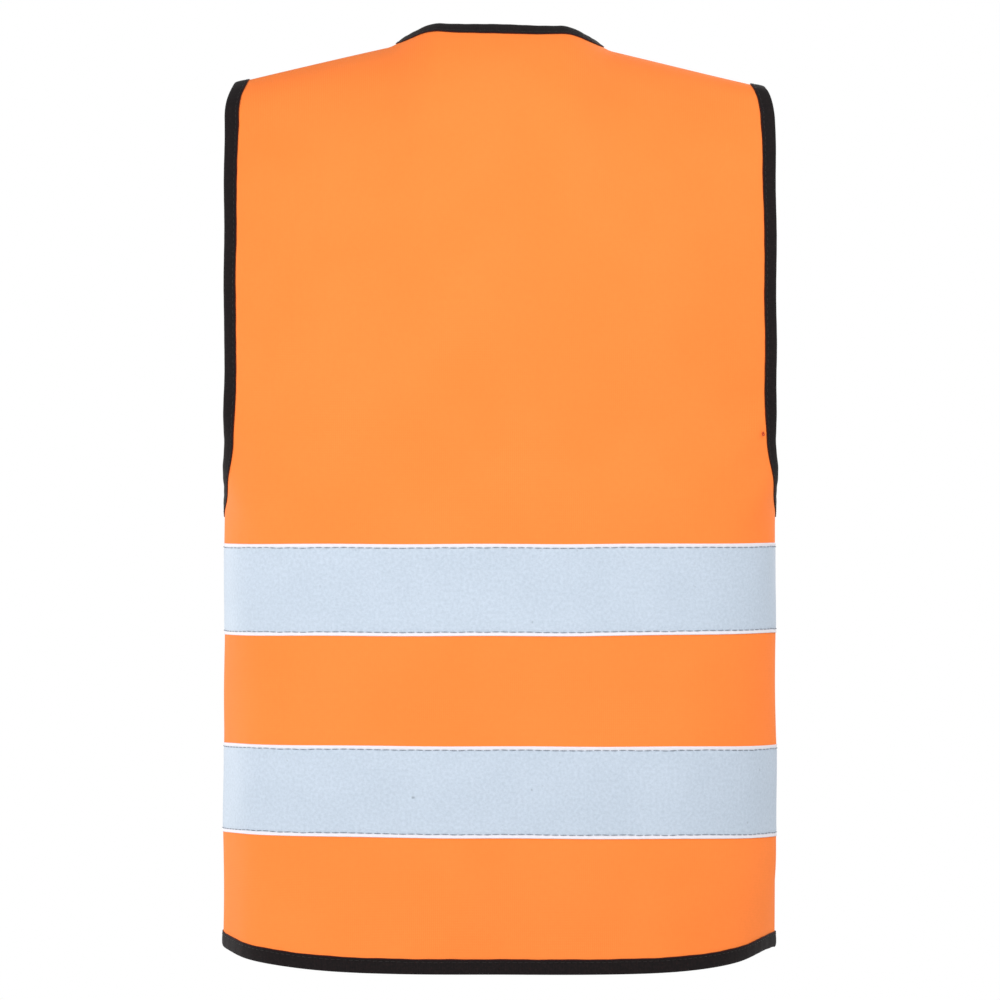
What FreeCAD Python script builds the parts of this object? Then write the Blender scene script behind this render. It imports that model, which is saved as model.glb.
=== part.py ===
"""Child's high visibility vest as a FreeCAD document, in millimetres.

The vest hangs as if on a wearer: +Z is up, the front faces -Y, the wearer's left is +X, and the origin
lies in the middle of the neck opening, a few millimetres below the inner ends of the shoulder seams.
Each cloth piece is drawn flat, on a pattern whose coordinates are the distance round the body from the
centre line and the height up the cloth.  It is then draped over the form of the body, so panels, bands
and bindings share one surface.
"""

import FreeCAD
import Part
import Sketcher
import bisect
import math
import os
import types

Vector = FreeCAD.Vector

OUT_DIR = "parts"

DIMENSIONS = [
    # form of the body
    ("body_half_width", 150.8),
    ("body_half_depth", 88.0),
    ("body_roundness", 3.0),         # power of the section round the waist
    ("blade_half_width", 148.4),     # centre line to armhole edge, measured straight across
    ("blade_edge_depth", 46.0),      # shoulder seam to armhole edge, measured front to back
    ("blade_roundness", 2.6),        # power of the section across the shoulder blades
    ("blade_tail_radius", 32.0),     # bend of that section past the armhole edge
    ("blade_blend_low", -252.0),     # the waist section holds below this height
    ("blade_blend_high", -190.0),    # the shoulder blade section holds above this one
    ("roll_start", -150.0),          # height where the cloth starts to lean over the shoulder
    ("shoulder_slope", 0.24),        # drop of the shoulder seam for each millimetre outwards
    ("shoulder_round", 20.0),        # rounding of that line at the centre
    ("shoulder_level", 3.3),         # level of the shoulder seam where it meets the neck
    ("neck_lift", 12.0),             # how far the cloth stands up round the neck
    ("neck_lift_inner", 33.0),
    ("neck_lift_outer", 62.0),
    # outlines of the pattern
    ("hem_level", -505.0),
    ("hem_rise", 13.0),              # rise of the hem from the centre to the side seam
    ("hem_corner", 18.0),            # radius of the lower front corners
    ("armpit_level", -249.0),
    ("armhole_scoop", 58.0),         # height of the round bottom of the armhole
    ("armhole_half_back", 159.7),    # centre line to armhole edge, along the cloth
    ("armhole_half_front", 157.1),
    ("shoulder_end", 153.7),         # centre line to the outer end of the shoulder seam
    ("shoulder_curve", 80.0),        # length of edge over which the armhole curves in to that end
    ("neck_half_width", 51.0),
    ("neck_back_depth", 30.0),
    ("neck_foot_level", -215.0),     # height where the front edge starts to turn into the neckline
    ("neck_foot_pull", 65.0),        # length of the neckline's handles
    ("neck_top_pull", 105.0),
    ("front_overlap", 20.0),         # how far each front passes the centre line
    ("overlap_full", 25.0),          # the under front lies fully inside the over one to here
    ("overlap_end", 45.0),           # and is back on the form from here
    ("seam_half_gap", 0.25),
    # layers
    ("cloth_thick", 0.8),
    ("layer_gap", 0.12),
    ("binding_thick", 0.6),
    ("binding_width", 7.8),
    # reflective bands
    ("band_thick", 0.4),
    ("band_height", 50.0),
    ("upper_band_top", -271.5),
    ("lower_band_top", -381.4),
    ("band_end_gap", 0.3),
    # hook and loop closure
    ("patch_width", 20.0),
    ("patch_length", 45.0),
    ("patch_thick", 1.1),
    ("patch_corner", 2.0),
    ("patch_clearance", 0.25),
    ("patch_top_level", -231.0),
    ("patch_middle_level", -351.5),
    ("patch_bottom_level", -465.0),
    # labels
    ("label_thick", 0.4),
    ("neck_label_width", 32.0),
    ("neck_label_height", 26.0),
    ("neck_label_top", 5.9),
    ("neck_label_depth", 35.5),
    ("care_label_width", 25.0),
    ("care_label_height", 48.0),
    ("care_label_level", -351.0),
    ("care_label_inset", 2.2),
    ("care_label_start", 1.5),
]

BACK = 1.0
FRONT = -1.0
LEFT = 1.0
RIGHT = -1.0

ARC_STEPS = 400          # steps of the arc length tables
GRID_ALONG = 6.0         # spacing of the points that carry a draped surface
GRID_UP = 12.0
OUTLINE_STEP = 9.0       # spacing of the points along a curved outline
STRAIGHT_STEP = 18.0     # spacing along a straight one
NORMAL_STEP = 0.5        # half the span of the differences that give a normal
SEW_TOLERANCE = 1e-3


def make_sheet(doc):
    """Spreadsheet with one row for each driving dimension."""
    sheet = doc.addObject("Spreadsheet::Sheet", "Dimensions")
    for row, (alias, value) in enumerate(DIMENSIONS, start=1):
        sheet.set(f"A{row}", alias)
        sheet.set(f"B{row}", str(value))
        sheet.setAlias(f"B{row}", alias)
    doc.recompute()
    return sheet


def read_sheet(sheet):
    """The sheet's values by alias, read once."""
    return types.SimpleNamespace(**{alias: float(getattr(sheet, alias)) for alias, _ in DIMENSIONS})


def smoothstep(value):
    value = min(max(value, 0.0), 1.0)
    return value * value * (3.0 - 2.0 * value)


def spread(low, high, step):
    """Evenly spaced values from low to high, about a step apart."""
    count = max(3, math.ceil(abs(high - low) / step))
    return [low + (high - low) * i / count for i in range(count + 1)]


# ---------------------------------------------------------------- form of the body


class ArcTable:
    """Curve from the centre line outwards, looked up by the length of cloth along it."""

    def __init__(self, points):
        self.points = points
        self.lengths = [0.0]
        for before, after in zip(points, points[1:]):
            self.lengths.append(self.lengths[-1] + math.dist(before, after))

    def at(self, length):
        i = min(max(bisect.bisect_right(self.lengths, length) - 1, 0), len(self.points) - 2)
        share = (length - self.lengths[i]) / (self.lengths[i + 1] - self.lengths[i])
        (x0, y0), (x1, y1) = self.points[i], self.points[i + 1]
        return x0 + share * (x1 - x0), y0 + share * (y1 - y0)


def waist_section(dim):
    """Quarter of a superellipse, from the centre line to the side seam."""
    power = 2.0 / dim.body_roundness
    points = []
    for i in range(ARC_STEPS + 1):
        angle = i / ARC_STEPS * math.pi / 2
        across = dim.body_half_width * math.sin(angle) ** power
        points.append((across, dim.body_half_depth * max(math.cos(angle), 0.0) ** power))
    return points


def blade_section(dim):
    """Nearly flat curve to the armhole edge, then a bend towards the front."""
    fall = dim.body_half_depth - dim.blade_edge_depth
    points = []
    for i in range(ARC_STEPS + 1):
        share = i / ARC_STEPS
        depth = dim.body_half_depth - fall * share**dim.blade_roundness
        points.append((share * dim.blade_half_width, depth))
    heading = math.atan(fall * dim.blade_roundness / dim.blade_half_width)
    radius = dim.blade_tail_radius
    for angle in spread(heading, math.pi / 2, 0.02)[1:]:
        across = dim.blade_half_width + radius * (math.sin(angle) - math.sin(heading))
        depth = dim.blade_edge_depth - radius * (math.cos(heading) - math.cos(angle))
        points.append((across, depth))
    across, depth = points[-1]
    points.append((across, depth - dim.body_half_depth))
    return points


class Form:
    """The body that the cloth is draped over, as a map from the pattern to space."""

    def __init__(self, dim):
        self.dim = dim
        self.waist = ArcTable(waist_section(dim))
        self.blades = ArcTable(blade_section(dim))
        self.side = self.waist.lengths[-1]
        self.shoulder = dim.roll_start + abs(dim.roll_start) * math.pi / 2

    def ridge(self, across):
        """Height of the shoulder line, standing up a little round the neck."""
        dim = self.dim
        rounded = math.hypot(across, dim.shoulder_round)
        share = (abs(across) - dim.neck_lift_inner) / (dim.neck_lift_outer - dim.neck_lift_inner)
        lift = dim.neck_lift * (1.0 - smoothstep(share))
        fall = dim.shoulder_slope * (rounded - dim.neck_half_width)
        return dim.shoulder_level + lift - fall

    def point(self, along, height, face, inset):
        """Place in space of a pattern point on the back or the front."""
        dim = self.dim
        share = (height - dim.blade_blend_low) / (dim.blade_blend_high - dim.blade_blend_low)
        blend = smoothstep(share)
        waist_x, waist_y = self.waist.at(abs(along))
        blade_x, blade_y = self.blades.at(abs(along))
        across = math.copysign(waist_x + blend * (blade_x - waist_x), along)
        depth = face * (waist_y + blend * (blade_y - waist_y) - inset)
        if height <= dim.roll_start:
            return Vector(across, depth, height)
        angle = (height - dim.roll_start) / abs(dim.roll_start)
        rise = (self.ridge(across) - dim.roll_start) * math.sin(angle)
        return Vector(across, depth * math.cos(angle), dim.roll_start + rise)


class Drape:
    """One face of the form, with points, normals and spline surfaces by pattern coordinates."""

    def __init__(self, form, face, inset=None):
        self.form = form
        self.face = face
        self.inset = inset or (lambda along: 0.0)

    def base(self, along, height):
        return self.form.point(along, height, self.face, self.inset(along))

    def tangents(self, along, height):
        """How the place on the form moves for each millimetre along and up the pattern."""
        step = NORMAL_STEP
        across = self.base(along + step, height) - self.base(along - step, height)
        up = self.base(along, height + step) - self.base(along, height - step)
        return across / (2.0 * step), up / (2.0 * step)

    def normal(self, along, height):
        across, up = self.tangents(along, height)
        return (up.cross(across) * self.face).normalize()

    def pattern_step(self, along, height, move):
        """Step on the pattern that moves the place on the form by the vector move."""
        across, up = self.tangents(along, height)
        skew = across.dot(up)
        area = across.dot(across) * up.dot(up) - skew * skew
        return (
            (move.dot(across) * up.dot(up) - move.dot(up) * skew) / area,
            (move.dot(up) * across.dot(across) - move.dot(across) * skew) / area,
        )

    def at(self, along, height, offset):
        return self.base(along, height) + self.normal(along, height) * offset

    def surface(self, alongs, heights, offset):
        """Bicubic surface at that offset whose parameters are the pattern coordinates."""
        rows = [interpolated([self.at(a, h, offset) for h in heights], heights) for a in alongs]
        row_poles = [row.getPoles() for row in rows]
        columns = [
            interpolated([poles[k] for poles in row_poles], alongs)
            for k in range(len(row_poles[0]))
        ]
        poles = [list(line) for line in zip(*(column.getPoles() for column in columns))]
        surface = Part.BSplineSurface()
        surface.buildFromPolesMultsKnots(
            poles,
            columns[0].getMultiplicities(),
            rows[0].getMultiplicities(),
            columns[0].getKnots(),
            rows[0].getKnots(),
            False,
            False,
            3,
            3,
        )
        return surface


def interpolated(points, parameters):
    curve = Part.BSplineCurve()
    curve.interpolate(Points=points, Parameters=parameters)
    return curve


# ---------------------------------------------------------------- pattern


def mirrored(line):
    return [(-along, height) for along, height in line]


def joined(*runs):
    """One line from several that meet end to end."""
    line = list(runs[0])
    for run in runs[1:]:
        line.extend(run[1:])
    return line


class Pattern:
    """Flat outlines of the cloth pieces, drawn for the wearer's left."""

    def __init__(self, form):
        self.form = form
        self.dim = form.dim
        self.side = form.side - form.dim.seam_half_gap
        self.top = form.shoulder - form.dim.seam_half_gap

    def hem_height(self, along):
        """Lowest at the centre, and level again where the hem meets the side seam."""
        share = (along / self.form.side) ** 2
        return self.dim.hem_level + self.dim.hem_rise * math.sin(share * math.pi / 2) ** 2

    def hem(self, start, end):
        return [(along, self.hem_height(along)) for along in spread(start, end, OUTLINE_STEP)]

    def side_seam(self):
        """Up the side, from the hem to the armpit."""
        return [(self.side, self.hem_height(self.side)), (self.side, self.dim.armpit_level)]

    def armhole(self, half):
        """Round the armhole, from the armpit up to the shoulder seam."""
        dim = self.dim
        scoop_top = dim.armpit_level + dim.armhole_scoop
        curve_start = self.top - dim.shoulder_curve
        points = []
        for angle in spread(0.0, math.pi / 2, math.pi / 18)[:-1]:
            along = self.side - (self.side - half) * math.sin(angle)
            points.append((along, scoop_top - dim.armhole_scoop * math.cos(angle)))
        for height in spread(scoop_top, curve_start, STRAIGHT_STEP)[:-1]:
            points.append((half, height))
        for height in spread(curve_start, self.top, OUTLINE_STEP):
            share = smoothstep((height - curve_start) / dim.shoulder_curve)
            points.append((half - (half - dim.shoulder_end) * share, height))
        return points

    def shoulder_seam(self):
        """Along the shoulder, from the armhole in to the neck."""
        return [(self.dim.shoulder_end, self.top), (self.dim.neck_half_width, self.top)]

    def back_neckline(self):
        """From the left shoulder seam round the back of the neck to the right one."""
        dim = self.dim
        points = []
        for angle in spread(0.0, math.pi, math.pi / 24):
            along = dim.neck_half_width * math.cos(angle)
            depth = dim.neck_back_depth * math.sin(angle)
            full = self.form.blades.at(abs(along))[1]
            height = dim.roll_start + abs(dim.roll_start) * math.acos(depth / full)
            points.append((along, min(height, self.top)))
        return points

    def front_neckline(self):
        """From the top of the front edge up to the shoulder seam."""
        dim = self.dim
        handles = (
            (-dim.front_overlap, dim.neck_foot_level),
            (-dim.front_overlap, dim.neck_foot_level + dim.neck_foot_pull),
            (dim.neck_half_width, self.top - dim.neck_top_pull),
            (dim.neck_half_width, self.top),
        )
        points = []
        for share in spread(0.0, 1.0, 1.0 / 32):
            rest = 1.0 - share
            weights = (rest**3, 3 * rest**2 * share, 3 * rest * share**2, share**3)
            points.append(tuple(sum(w * h[axis] for w, h in zip(weights, handles)) for axis in (0, 1)))
        return points

    def front_corner(self):
        """Round the lower corner, from the hem to the front edge."""
        radius = self.dim.hem_corner
        along = radius - self.dim.front_overlap
        height = self.hem_height(along) + radius
        return [
            (along - radius * math.sin(angle), height - radius * math.cos(angle))
            for angle in spread(0.0, math.pi / 2, math.pi / 16)
        ]

    def front_edge(self):
        """Up the front edge, from the corner to the foot of the neckline."""
        along, start = self.front_corner()[-1]
        heights = spread(start, self.dim.neck_foot_level, STRAIGHT_STEP)
        return [(along, height) for height in heights]

    def back_outline(self):
        half = [self.side_seam(), self.armhole(self.dim.armhole_half_back), self.shoulder_seam()]
        other = [mirrored(run)[::-1] for run in half[::-1]]
        return [self.hem(-self.side, self.side), *half, self.back_neckline(), *other]

    def front_outline(self):
        return [
            self.hem(self.side, self.front_corner()[0][0]),
            self.front_corner(),
            self.front_edge(),
            self.front_neckline(),
            self.shoulder_seam()[::-1],
            self.armhole(self.dim.armhole_half_front)[::-1],
            self.side_seam()[::-1],
        ]

    def front_binding_line(self):
        hem = self.hem(self.side, self.front_corner()[0][0])
        return joined(hem, self.front_corner(), self.front_edge(), self.front_neckline())

    def band_outline(self, start, top):
        """Rectangle from start round to the side seam."""
        low = top - self.dim.band_height
        corners = [(start, low), (self.side, low), (self.side, top), (start, top)]
        return [list(pair) for pair in zip(corners, corners[1:] + corners[:1])]


# ---------------------------------------------------------------- cloth solids


def pattern_edge(line, surface):
    """Edge on the surface along a line of the pattern, straight between two points."""
    ends = [FreeCAD.Base.Vector2d(*point) for point in line]
    if len(ends) == 2:
        return Part.Geom2d.Line2dSegment(*ends).toShape(surface)
    curve = Part.Geom2d.BSplineCurve2d()
    curve.interpolate(ends)
    return curve.toShape(surface)


def solid_from(faces):
    shell = Part.makeShell(faces)
    shell.sewShape(SEW_TOLERANCE)
    solid = Part.makeSolid(shell.Shells[0])
    if solid.Volume < 0:
        solid.reverse()
    return solid


def anticlockwise(outline):
    """The closed outline, turned round if it runs clockwise on the pattern."""
    corners = [point for line in outline for point in line]
    shifted = corners[1:] + corners[:1]
    if sum(x0 * y1 - x1 * y0 for (x0, y0), (x1, y1) in zip(corners, shifted)) > 0:
        return outline
    return [line[::-1] for line in outline[::-1]]


def draped_solid(drape, outline, low, high):
    """Cloth between two offsets of the draped surface, cut to an outline of pattern lines."""
    outline = anticlockwise(outline)
    corners = [point for line in outline for point in line]
    alongs = spread(min(c[0] for c in corners), max(c[0] for c in corners), GRID_ALONG)
    heights = spread(min(c[1] for c in corners), max(c[1] for c in corners), GRID_UP)
    faces = []
    borders = []
    for offset in (low, high):
        surface = drape.surface(alongs, heights, offset)
        border = [pattern_edge(line, surface) for line in outline]
        face = Part.Face(surface, Part.Wire(border))
        face.validate()
        faces.append(face)
        borders.append(border)
    walls = [Part.makeRuledSurface(inner, outer) for inner, outer in zip(*borders)]
    return solid_from(faces + walls)


def binding_rails(drape, line, inner_side, profile):
    """For each (reach, lift) of the profile, the points it passes through along the line.

    reach is the distance in from the raw edge, over the cloth; lift is the height off the cloth.
    inner_side is +1 when the cloth lies to the left of the line's direction on the pattern, else -1.
    """
    rails = [[] for _ in profile]
    for i, (along, height) in enumerate(line):
        before, after = line[max(i - 1, 0)], line[min(i + 1, len(line) - 1)]
        run = drape.base(*after) - drape.base(*before)
        normal = drape.normal(along, height)
        inward = run.cross(normal).normalize() * (drape.face * inner_side)
        step = drape.pattern_step(along, height, inward)
        for rail, (reach, lift) in zip(rails, profile):
            if reach < 0:
                rail.append(drape.base(along, height) + inward * reach + normal * lift)
            else:
                rail.append(drape.at(along + step[0] * reach, height + step[1] * reach, lift))
    return rails


def binding_solid(drape, line, inner_side):
    """Tape folded round the raw edge of the cloth: a U in section, carried along the line."""
    dim = drape.form.dim
    reaches = (dim.binding_width, dim.binding_width / 2.0, -dim.layer_gap)
    skins = []
    for extra in (0.0, dim.binding_thick):
        over = dim.cloth_thick + dim.layer_gap + extra
        under = -dim.layer_gap - extra
        fold = reaches[:2] + (reaches[2] - extra,)
        profile = [(reach, over) for reach in fold] + [(reach, under) for reach in fold[::-1]]
        skins.append(binding_rails(drape, line, inner_side, profile))
    lengths = [0.0]
    for before, after in zip(line, line[1:]):
        lengths.append(lengths[-1] + math.dist(before, after))
    inner, outer = ([interpolated(rail, lengths).toShape() for rail in skin] for skin in skins)
    ring = inner + outer[::-1]
    faces = [Part.makeRuledSurface(edge, ring[i - 1]) for i, edge in enumerate(ring)]
    for end in (0, -1):
        inner_ends, outer_ends = ([rail[end] for rail in skin] for skin in skins)
        for k in range(len(inner_ends) - 1):
            low = Part.makeLine(inner_ends[k], inner_ends[k + 1])
            high = Part.makeLine(outer_ends[k], outer_ends[k + 1])
            faces.append(Part.makeRuledSurface(low, high))
    return solid_from(faces)


def placed(line, side):
    return line if side == LEFT else mirrored(line)


def back_solids(form, pattern):
    dim = form.dim
    drape = Drape(form, BACK)
    armhole = pattern.armhole(dim.armhole_half_back)
    low = dim.cloth_thick + dim.layer_gap
    high = low + dim.band_thick
    return {
        "back_panel": draped_solid(drape, pattern.back_outline(), 0.0, dim.cloth_thick),
        "upper_band_back": draped_solid(
            drape, pattern.band_outline(-pattern.side, dim.upper_band_top), low, high
        ),
        "lower_band_back": draped_solid(
            drape, pattern.band_outline(-pattern.side, dim.lower_band_top), low, high
        ),
        "back_neck_binding": binding_solid(drape, pattern.back_neckline(), 1.0),
        "back_hem_binding": binding_solid(drape, pattern.hem(-pattern.side, pattern.side), 1.0),
        "left_armhole_binding_back": binding_solid(drape, armhole, LEFT),
        "right_armhole_binding_back": binding_solid(drape, mirrored(armhole), RIGHT),
    }


def front_solids(form, pattern, name, side):
    """Cloth pieces of one front; the wearer's right one lies under the left at the closure."""
    dim = form.dim
    under = closure_depth(dim)

    def inset(along):
        share = (-along - dim.overlap_full) / (dim.overlap_end - dim.overlap_full)
        return under * (1.0 - smoothstep(share))

    drape = Drape(form, FRONT, inset if side == RIGHT else None)
    low = dim.cloth_thick + dim.layer_gap
    high = low + dim.band_thick
    band_start = dim.binding_width + dim.band_end_gap - dim.front_overlap
    outline = [placed(line, side) for line in pattern.front_outline()]
    upper = [placed(line, side) for line in pattern.band_outline(band_start, dim.upper_band_top)]
    lower = [placed(line, side) for line in pattern.band_outline(band_start, dim.lower_band_top)]
    edge = placed(pattern.front_binding_line(), side)
    armhole = placed(pattern.armhole(dim.armhole_half_front), side)
    return {
        f"{name}_front_panel": draped_solid(drape, outline, 0.0, dim.cloth_thick),
        f"{name}_front_upper_band": draped_solid(drape, upper, low, high),
        f"{name}_front_lower_band": draped_solid(drape, lower, low, high),
        f"{name}_front_binding": binding_solid(drape, edge, -side),
        f"{name}_armhole_binding_front": binding_solid(drape, armhole, side),
    }


def closure_depth(dim):
    """From the over front's inner face to the under front's inner face."""
    patch = dim.patch_thick + dim.layer_gap
    return dim.cloth_thick + 2.0 * patch + dim.patch_clearance


# ---------------------------------------------------------------- flat plates


def add_plate(doc, name, width, height, thick, corner, placement):
    """PartDesign body: a centred rectangle padded along its local Z, sized by the sheet."""
    body = doc.addObject("PartDesign::Body", name)
    body.Label = name
    plane = next(f for f in body.Origin.OriginFeatures if f.Role == "XY_Plane")
    sketch = body.newObject("Sketcher::SketchObject", f"{name}_outline")
    sketch.AttachmentSupport = [(plane, "")]
    sketch.MapMode = "FlatFace"
    points = [Vector(-5, -5, 0), Vector(5, -5, 0), Vector(5, 5, 0), Vector(-5, 5, 0)]
    for start, end in zip(points, points[1:] + points[:1]):
        sketch.addGeometry(Part.LineSegment(start, end), False)
    for line in range(4):
        sketch.addConstraint(Sketcher.Constraint("Coincident", line, 2, (line + 1) % 4, 1))
        direction = "Vertical" if line % 2 else "Horizontal"
        sketch.addConstraint(Sketcher.Constraint(direction, line))
    sketch.addConstraint(Sketcher.Constraint("Symmetric", 0, 1, 2, 1, -1, 1))
    wide = sketch.addConstraint(Sketcher.Constraint("DistanceX", 0, 1, 0, 2, 10))
    tall = sketch.addConstraint(Sketcher.Constraint("DistanceY", 1, 1, 1, 2, 10))
    sketch.setExpression(f"Constraints[{wide}]", f"Dimensions.{width}")
    sketch.setExpression(f"Constraints[{tall}]", f"Dimensions.{height}")
    pad = body.newObject("PartDesign::Pad", f"{name}_pad")
    pad.Profile = sketch
    pad.setExpression("Length", f"Dimensions.{thick}")
    doc.recompute()
    if corner:
        fillet = body.newObject("PartDesign::Fillet", f"{name}_corners")
        upright = [
            f"Edge{i}"
            for i, edge in enumerate(pad.Shape.Edges, start=1)
            if abs(edge.Vertexes[0].Z - edge.Vertexes[-1].Z) > 1e-6
        ]
        fillet.Base = (pad, upright)
        fillet.setExpression("Radius", f"Dimensions.{corner}")
    body.Placement = placement
    return body


def add_patches(doc, dim):
    """Hook patches inside the over front, loop patches outside the under one."""
    facing_front = FreeCAD.Rotation(Vector(1, 0, 0), 90)
    hook_back = -dim.body_half_depth + dim.layer_gap + dim.patch_thick
    under_face = -dim.body_half_depth + closure_depth(dim) - dim.cloth_thick
    loop_back = under_face - dim.layer_gap
    for kind, depth in (("hook", hook_back), ("loop", loop_back)):
        for place in ("top", "middle", "bottom"):
            level = f"patch_{place}_level"
            body = add_plate(
                doc,
                f"{kind}_patch_{place}",
                "patch_width",
                "patch_length",
                "patch_thick",
                "patch_corner",
                FreeCAD.Placement(Vector(0, depth, getattr(dim, level)), facing_front),
            )
            body.setExpression("Placement.Base.z", f"Dimensions.{level}")


def add_labels(doc, dim):
    """Woven label inside the back of the neck and care label inside the left side seam."""
    facing_front = FreeCAD.Rotation(Vector(1, 0, 0), 90)
    neck_centre = dim.neck_label_top - dim.neck_label_height / 2
    add_plate(
        doc,
        "neck_label",
        "neck_label_width",
        "neck_label_height",
        "label_thick",
        None,
        FreeCAD.Placement(Vector(0, dim.neck_label_depth, neck_centre), facing_front),
    )
    facing_left = FreeCAD.Rotation(Vector(0, 0, 1), 90) * facing_front
    care_x = dim.body_half_width - dim.care_label_inset - dim.label_thick
    care_y = dim.care_label_start + dim.care_label_width / 2
    add_plate(
        doc,
        "care_label",
        "care_label_width",
        "care_label_height",
        "label_thick",
        None,
        FreeCAD.Placement(Vector(care_x, care_y, dim.care_label_level), facing_left),
    )


# ---------------------------------------------------------------- document


def add_cloth(doc, solids):
    for name, solid in solids.items():
        piece = doc.addObject("Part::Feature", name)
        piece.Label = name
        piece.Shape = solid


def check_document(doc):
    for obj in doc.Objects:
        if {"Invalid", "Error"} & set(obj.State):
            raise RuntimeError(f"{obj.Label} is {obj.State}")


def export_parts(doc):
    """One STEP file for each cloth solid and each plate body."""
    os.makedirs(OUT_DIR, exist_ok=True)
    for obj in doc.Objects:
        if obj.TypeId not in ("Part::Feature", "PartDesign::Body"):
            continue
        shape = obj.Shape
        if shape.isNull() or not shape.isValid() or len(shape.Solids) != 1:
            raise RuntimeError(f"{obj.Label} is not one valid solid")
        shape.exportStep(os.path.join(OUT_DIR, f"{obj.Label}.step"))
        box = shape.optimalBoundingBox(False)
        print(
            f"{obj.Label:28s} {shape.Volume:9.0f} mm3"
            f"  x {box.XMin:7.1f} {box.XMax:7.1f}"
            f"  y {box.YMin:7.1f} {box.YMax:7.1f}"
            f"  z {box.ZMin:7.1f} {box.ZMax:7.1f}"
        )


def main():
    doc = FreeCAD.newDocument("HighVisibilityVest")
    dim = read_sheet(make_sheet(doc))
    form = Form(dim)
    pattern = Pattern(form)
    add_cloth(doc, back_solids(form, pattern))
    add_cloth(doc, front_solids(form, pattern, "left", LEFT))
    add_cloth(doc, front_solids(form, pattern, "right", RIGHT))
    add_patches(doc, dim)
    add_labels(doc, dim)
    doc.recompute()
    check_document(doc)
    export_parts(doc)


main()
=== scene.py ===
"""Finished cloth, tapes, stitches and closure of a child's high visibility vest, with its studio.

Every piece of cloth is a function of two pattern coordinates: the distance along the cloth from the
centre line, positive towards the wearer's left, and the height up the cloth.  One form of the body
carries them all, so bindings, bands and stitches lie on the panels they are sewn to.  Lengths are in
metres.
"""

import math
from collections import namedtuple

import bpy
import numpy as np
from bpy.props import FloatProperty, FloatVectorProperty, PointerProperty
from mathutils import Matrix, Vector


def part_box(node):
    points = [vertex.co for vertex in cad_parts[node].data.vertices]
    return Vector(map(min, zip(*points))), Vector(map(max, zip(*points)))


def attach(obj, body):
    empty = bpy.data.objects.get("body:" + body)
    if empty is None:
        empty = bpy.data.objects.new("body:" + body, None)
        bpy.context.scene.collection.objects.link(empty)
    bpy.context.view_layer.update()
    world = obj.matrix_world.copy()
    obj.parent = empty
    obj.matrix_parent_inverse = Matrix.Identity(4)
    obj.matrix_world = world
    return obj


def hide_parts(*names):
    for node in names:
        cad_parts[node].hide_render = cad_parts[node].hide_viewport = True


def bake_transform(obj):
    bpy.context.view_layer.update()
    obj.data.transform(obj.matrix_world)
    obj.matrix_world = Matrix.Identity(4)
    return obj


bl_info = {
    "name": "High visibility vest",
    "version": (1, 0, 0),
    "blender": (4, 5, 0),
    "location": "3D View > Sidebar > Vest",
    "description": "Cloth, bands, bindings, stitches and closure of a child's high visibility vest",
    "category": "Object",
}

MM = 0.001

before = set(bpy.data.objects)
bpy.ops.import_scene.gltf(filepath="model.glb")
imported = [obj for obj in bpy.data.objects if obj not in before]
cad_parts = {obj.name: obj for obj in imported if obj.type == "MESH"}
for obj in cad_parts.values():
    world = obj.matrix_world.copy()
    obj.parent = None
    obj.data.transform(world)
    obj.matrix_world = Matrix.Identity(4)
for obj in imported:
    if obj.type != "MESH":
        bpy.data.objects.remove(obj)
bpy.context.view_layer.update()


# ---------------------------------------------------------------- sizes taken from the frame

PANEL_LOW, PANEL_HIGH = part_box("back_panel")
UPPER_LOW, UPPER_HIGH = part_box("upper_band_back")
LOWER_LOW, LOWER_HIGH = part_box("lower_band_back")
PATCH_PLACES = ("top", "middle", "bottom")
HOOK_BOXES = {place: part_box(f"hook_patch_{place}") for place in PATCH_PLACES}
LOOP_BOXES = {place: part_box(f"loop_patch_{place}") for place in PATCH_PLACES}

CAD_CLOTH = 0.8 * MM
CAD_BAND = 0.4 * MM
CAD_GAP = 0.12 * MM
PATCH_PAIR = 2.02 * MM       # from the over front's form down to the under one's, less the loop patch
HALF_WIDTH = UPPER_HIGH.x - CAD_CLOTH - CAD_GAP - CAD_BAND
HALF_DEPTH = PANEL_HIGH.y - CAD_CLOTH
HEM_LEVEL = PANEL_LOW.z
UNDER_INSET = LOOP_BOXES["top"][0].y + HALF_DEPTH + PATCH_PAIR


# ---------------------------------------------------------------- form of the body

WAIST_POWER = 3.0
BLADE_HALF_WIDTH = 148.4 * MM
BLADE_EDGE_DEPTH = 46.0 * MM
BLADE_POWER = 2.6
BLADE_TAIL_RADIUS = 32.0 * MM
BLADE_BLEND = (-252.0 * MM, -190.0 * MM)
ROLL_START = -150.0 * MM
SHOULDER_SLOPE = 0.24
SHOULDER_ROUND = 20.0 * MM
SHOULDER_LEVEL = 3.3 * MM
NECK_LIFT = 12.0 * MM
NECK_LIFT_RANGE = (33.0 * MM, 62.0 * MM)
NECK_HALF_WIDTH = 51.0 * MM
NECK_BACK_DEPTH = 30.0 * MM
NECK_FOOT_LEVEL = -215.0 * MM
NECK_FOOT_PULL = 65.0 * MM
NECK_TOP_PULL = 105.0 * MM
HEM_RISE = 13.0 * MM
HEM_CORNER = 18.0 * MM
ARMPIT_LEVEL = -249.0 * MM
ARMHOLE_SCOOP = 58.0 * MM
ARMHOLE_BACK = 159.7 * MM
ARMHOLE_FRONT = 157.1 * MM
SHOULDER_END = 153.7 * MM
SHOULDER_CURVE = 80.0 * MM
FRONT_OVERLAP = 20.0 * MM
OVERLAP_RANGE = (25.0 * MM, 45.0 * MM)
SHOULDER_TILT = 0.0185      # the vest hangs a little lower on the wearer's right shoulder
SHOULDER_TILT_REACH = 190.0 * MM
SHOULDER_TILT_RANGE = (-260.0 * MM, -40.0 * MM)
HEM_TILT = 0.0055           # and so does its hem
HEM_TILT_RANGE = (-300.0 * MM, -460.0 * MM)
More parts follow.
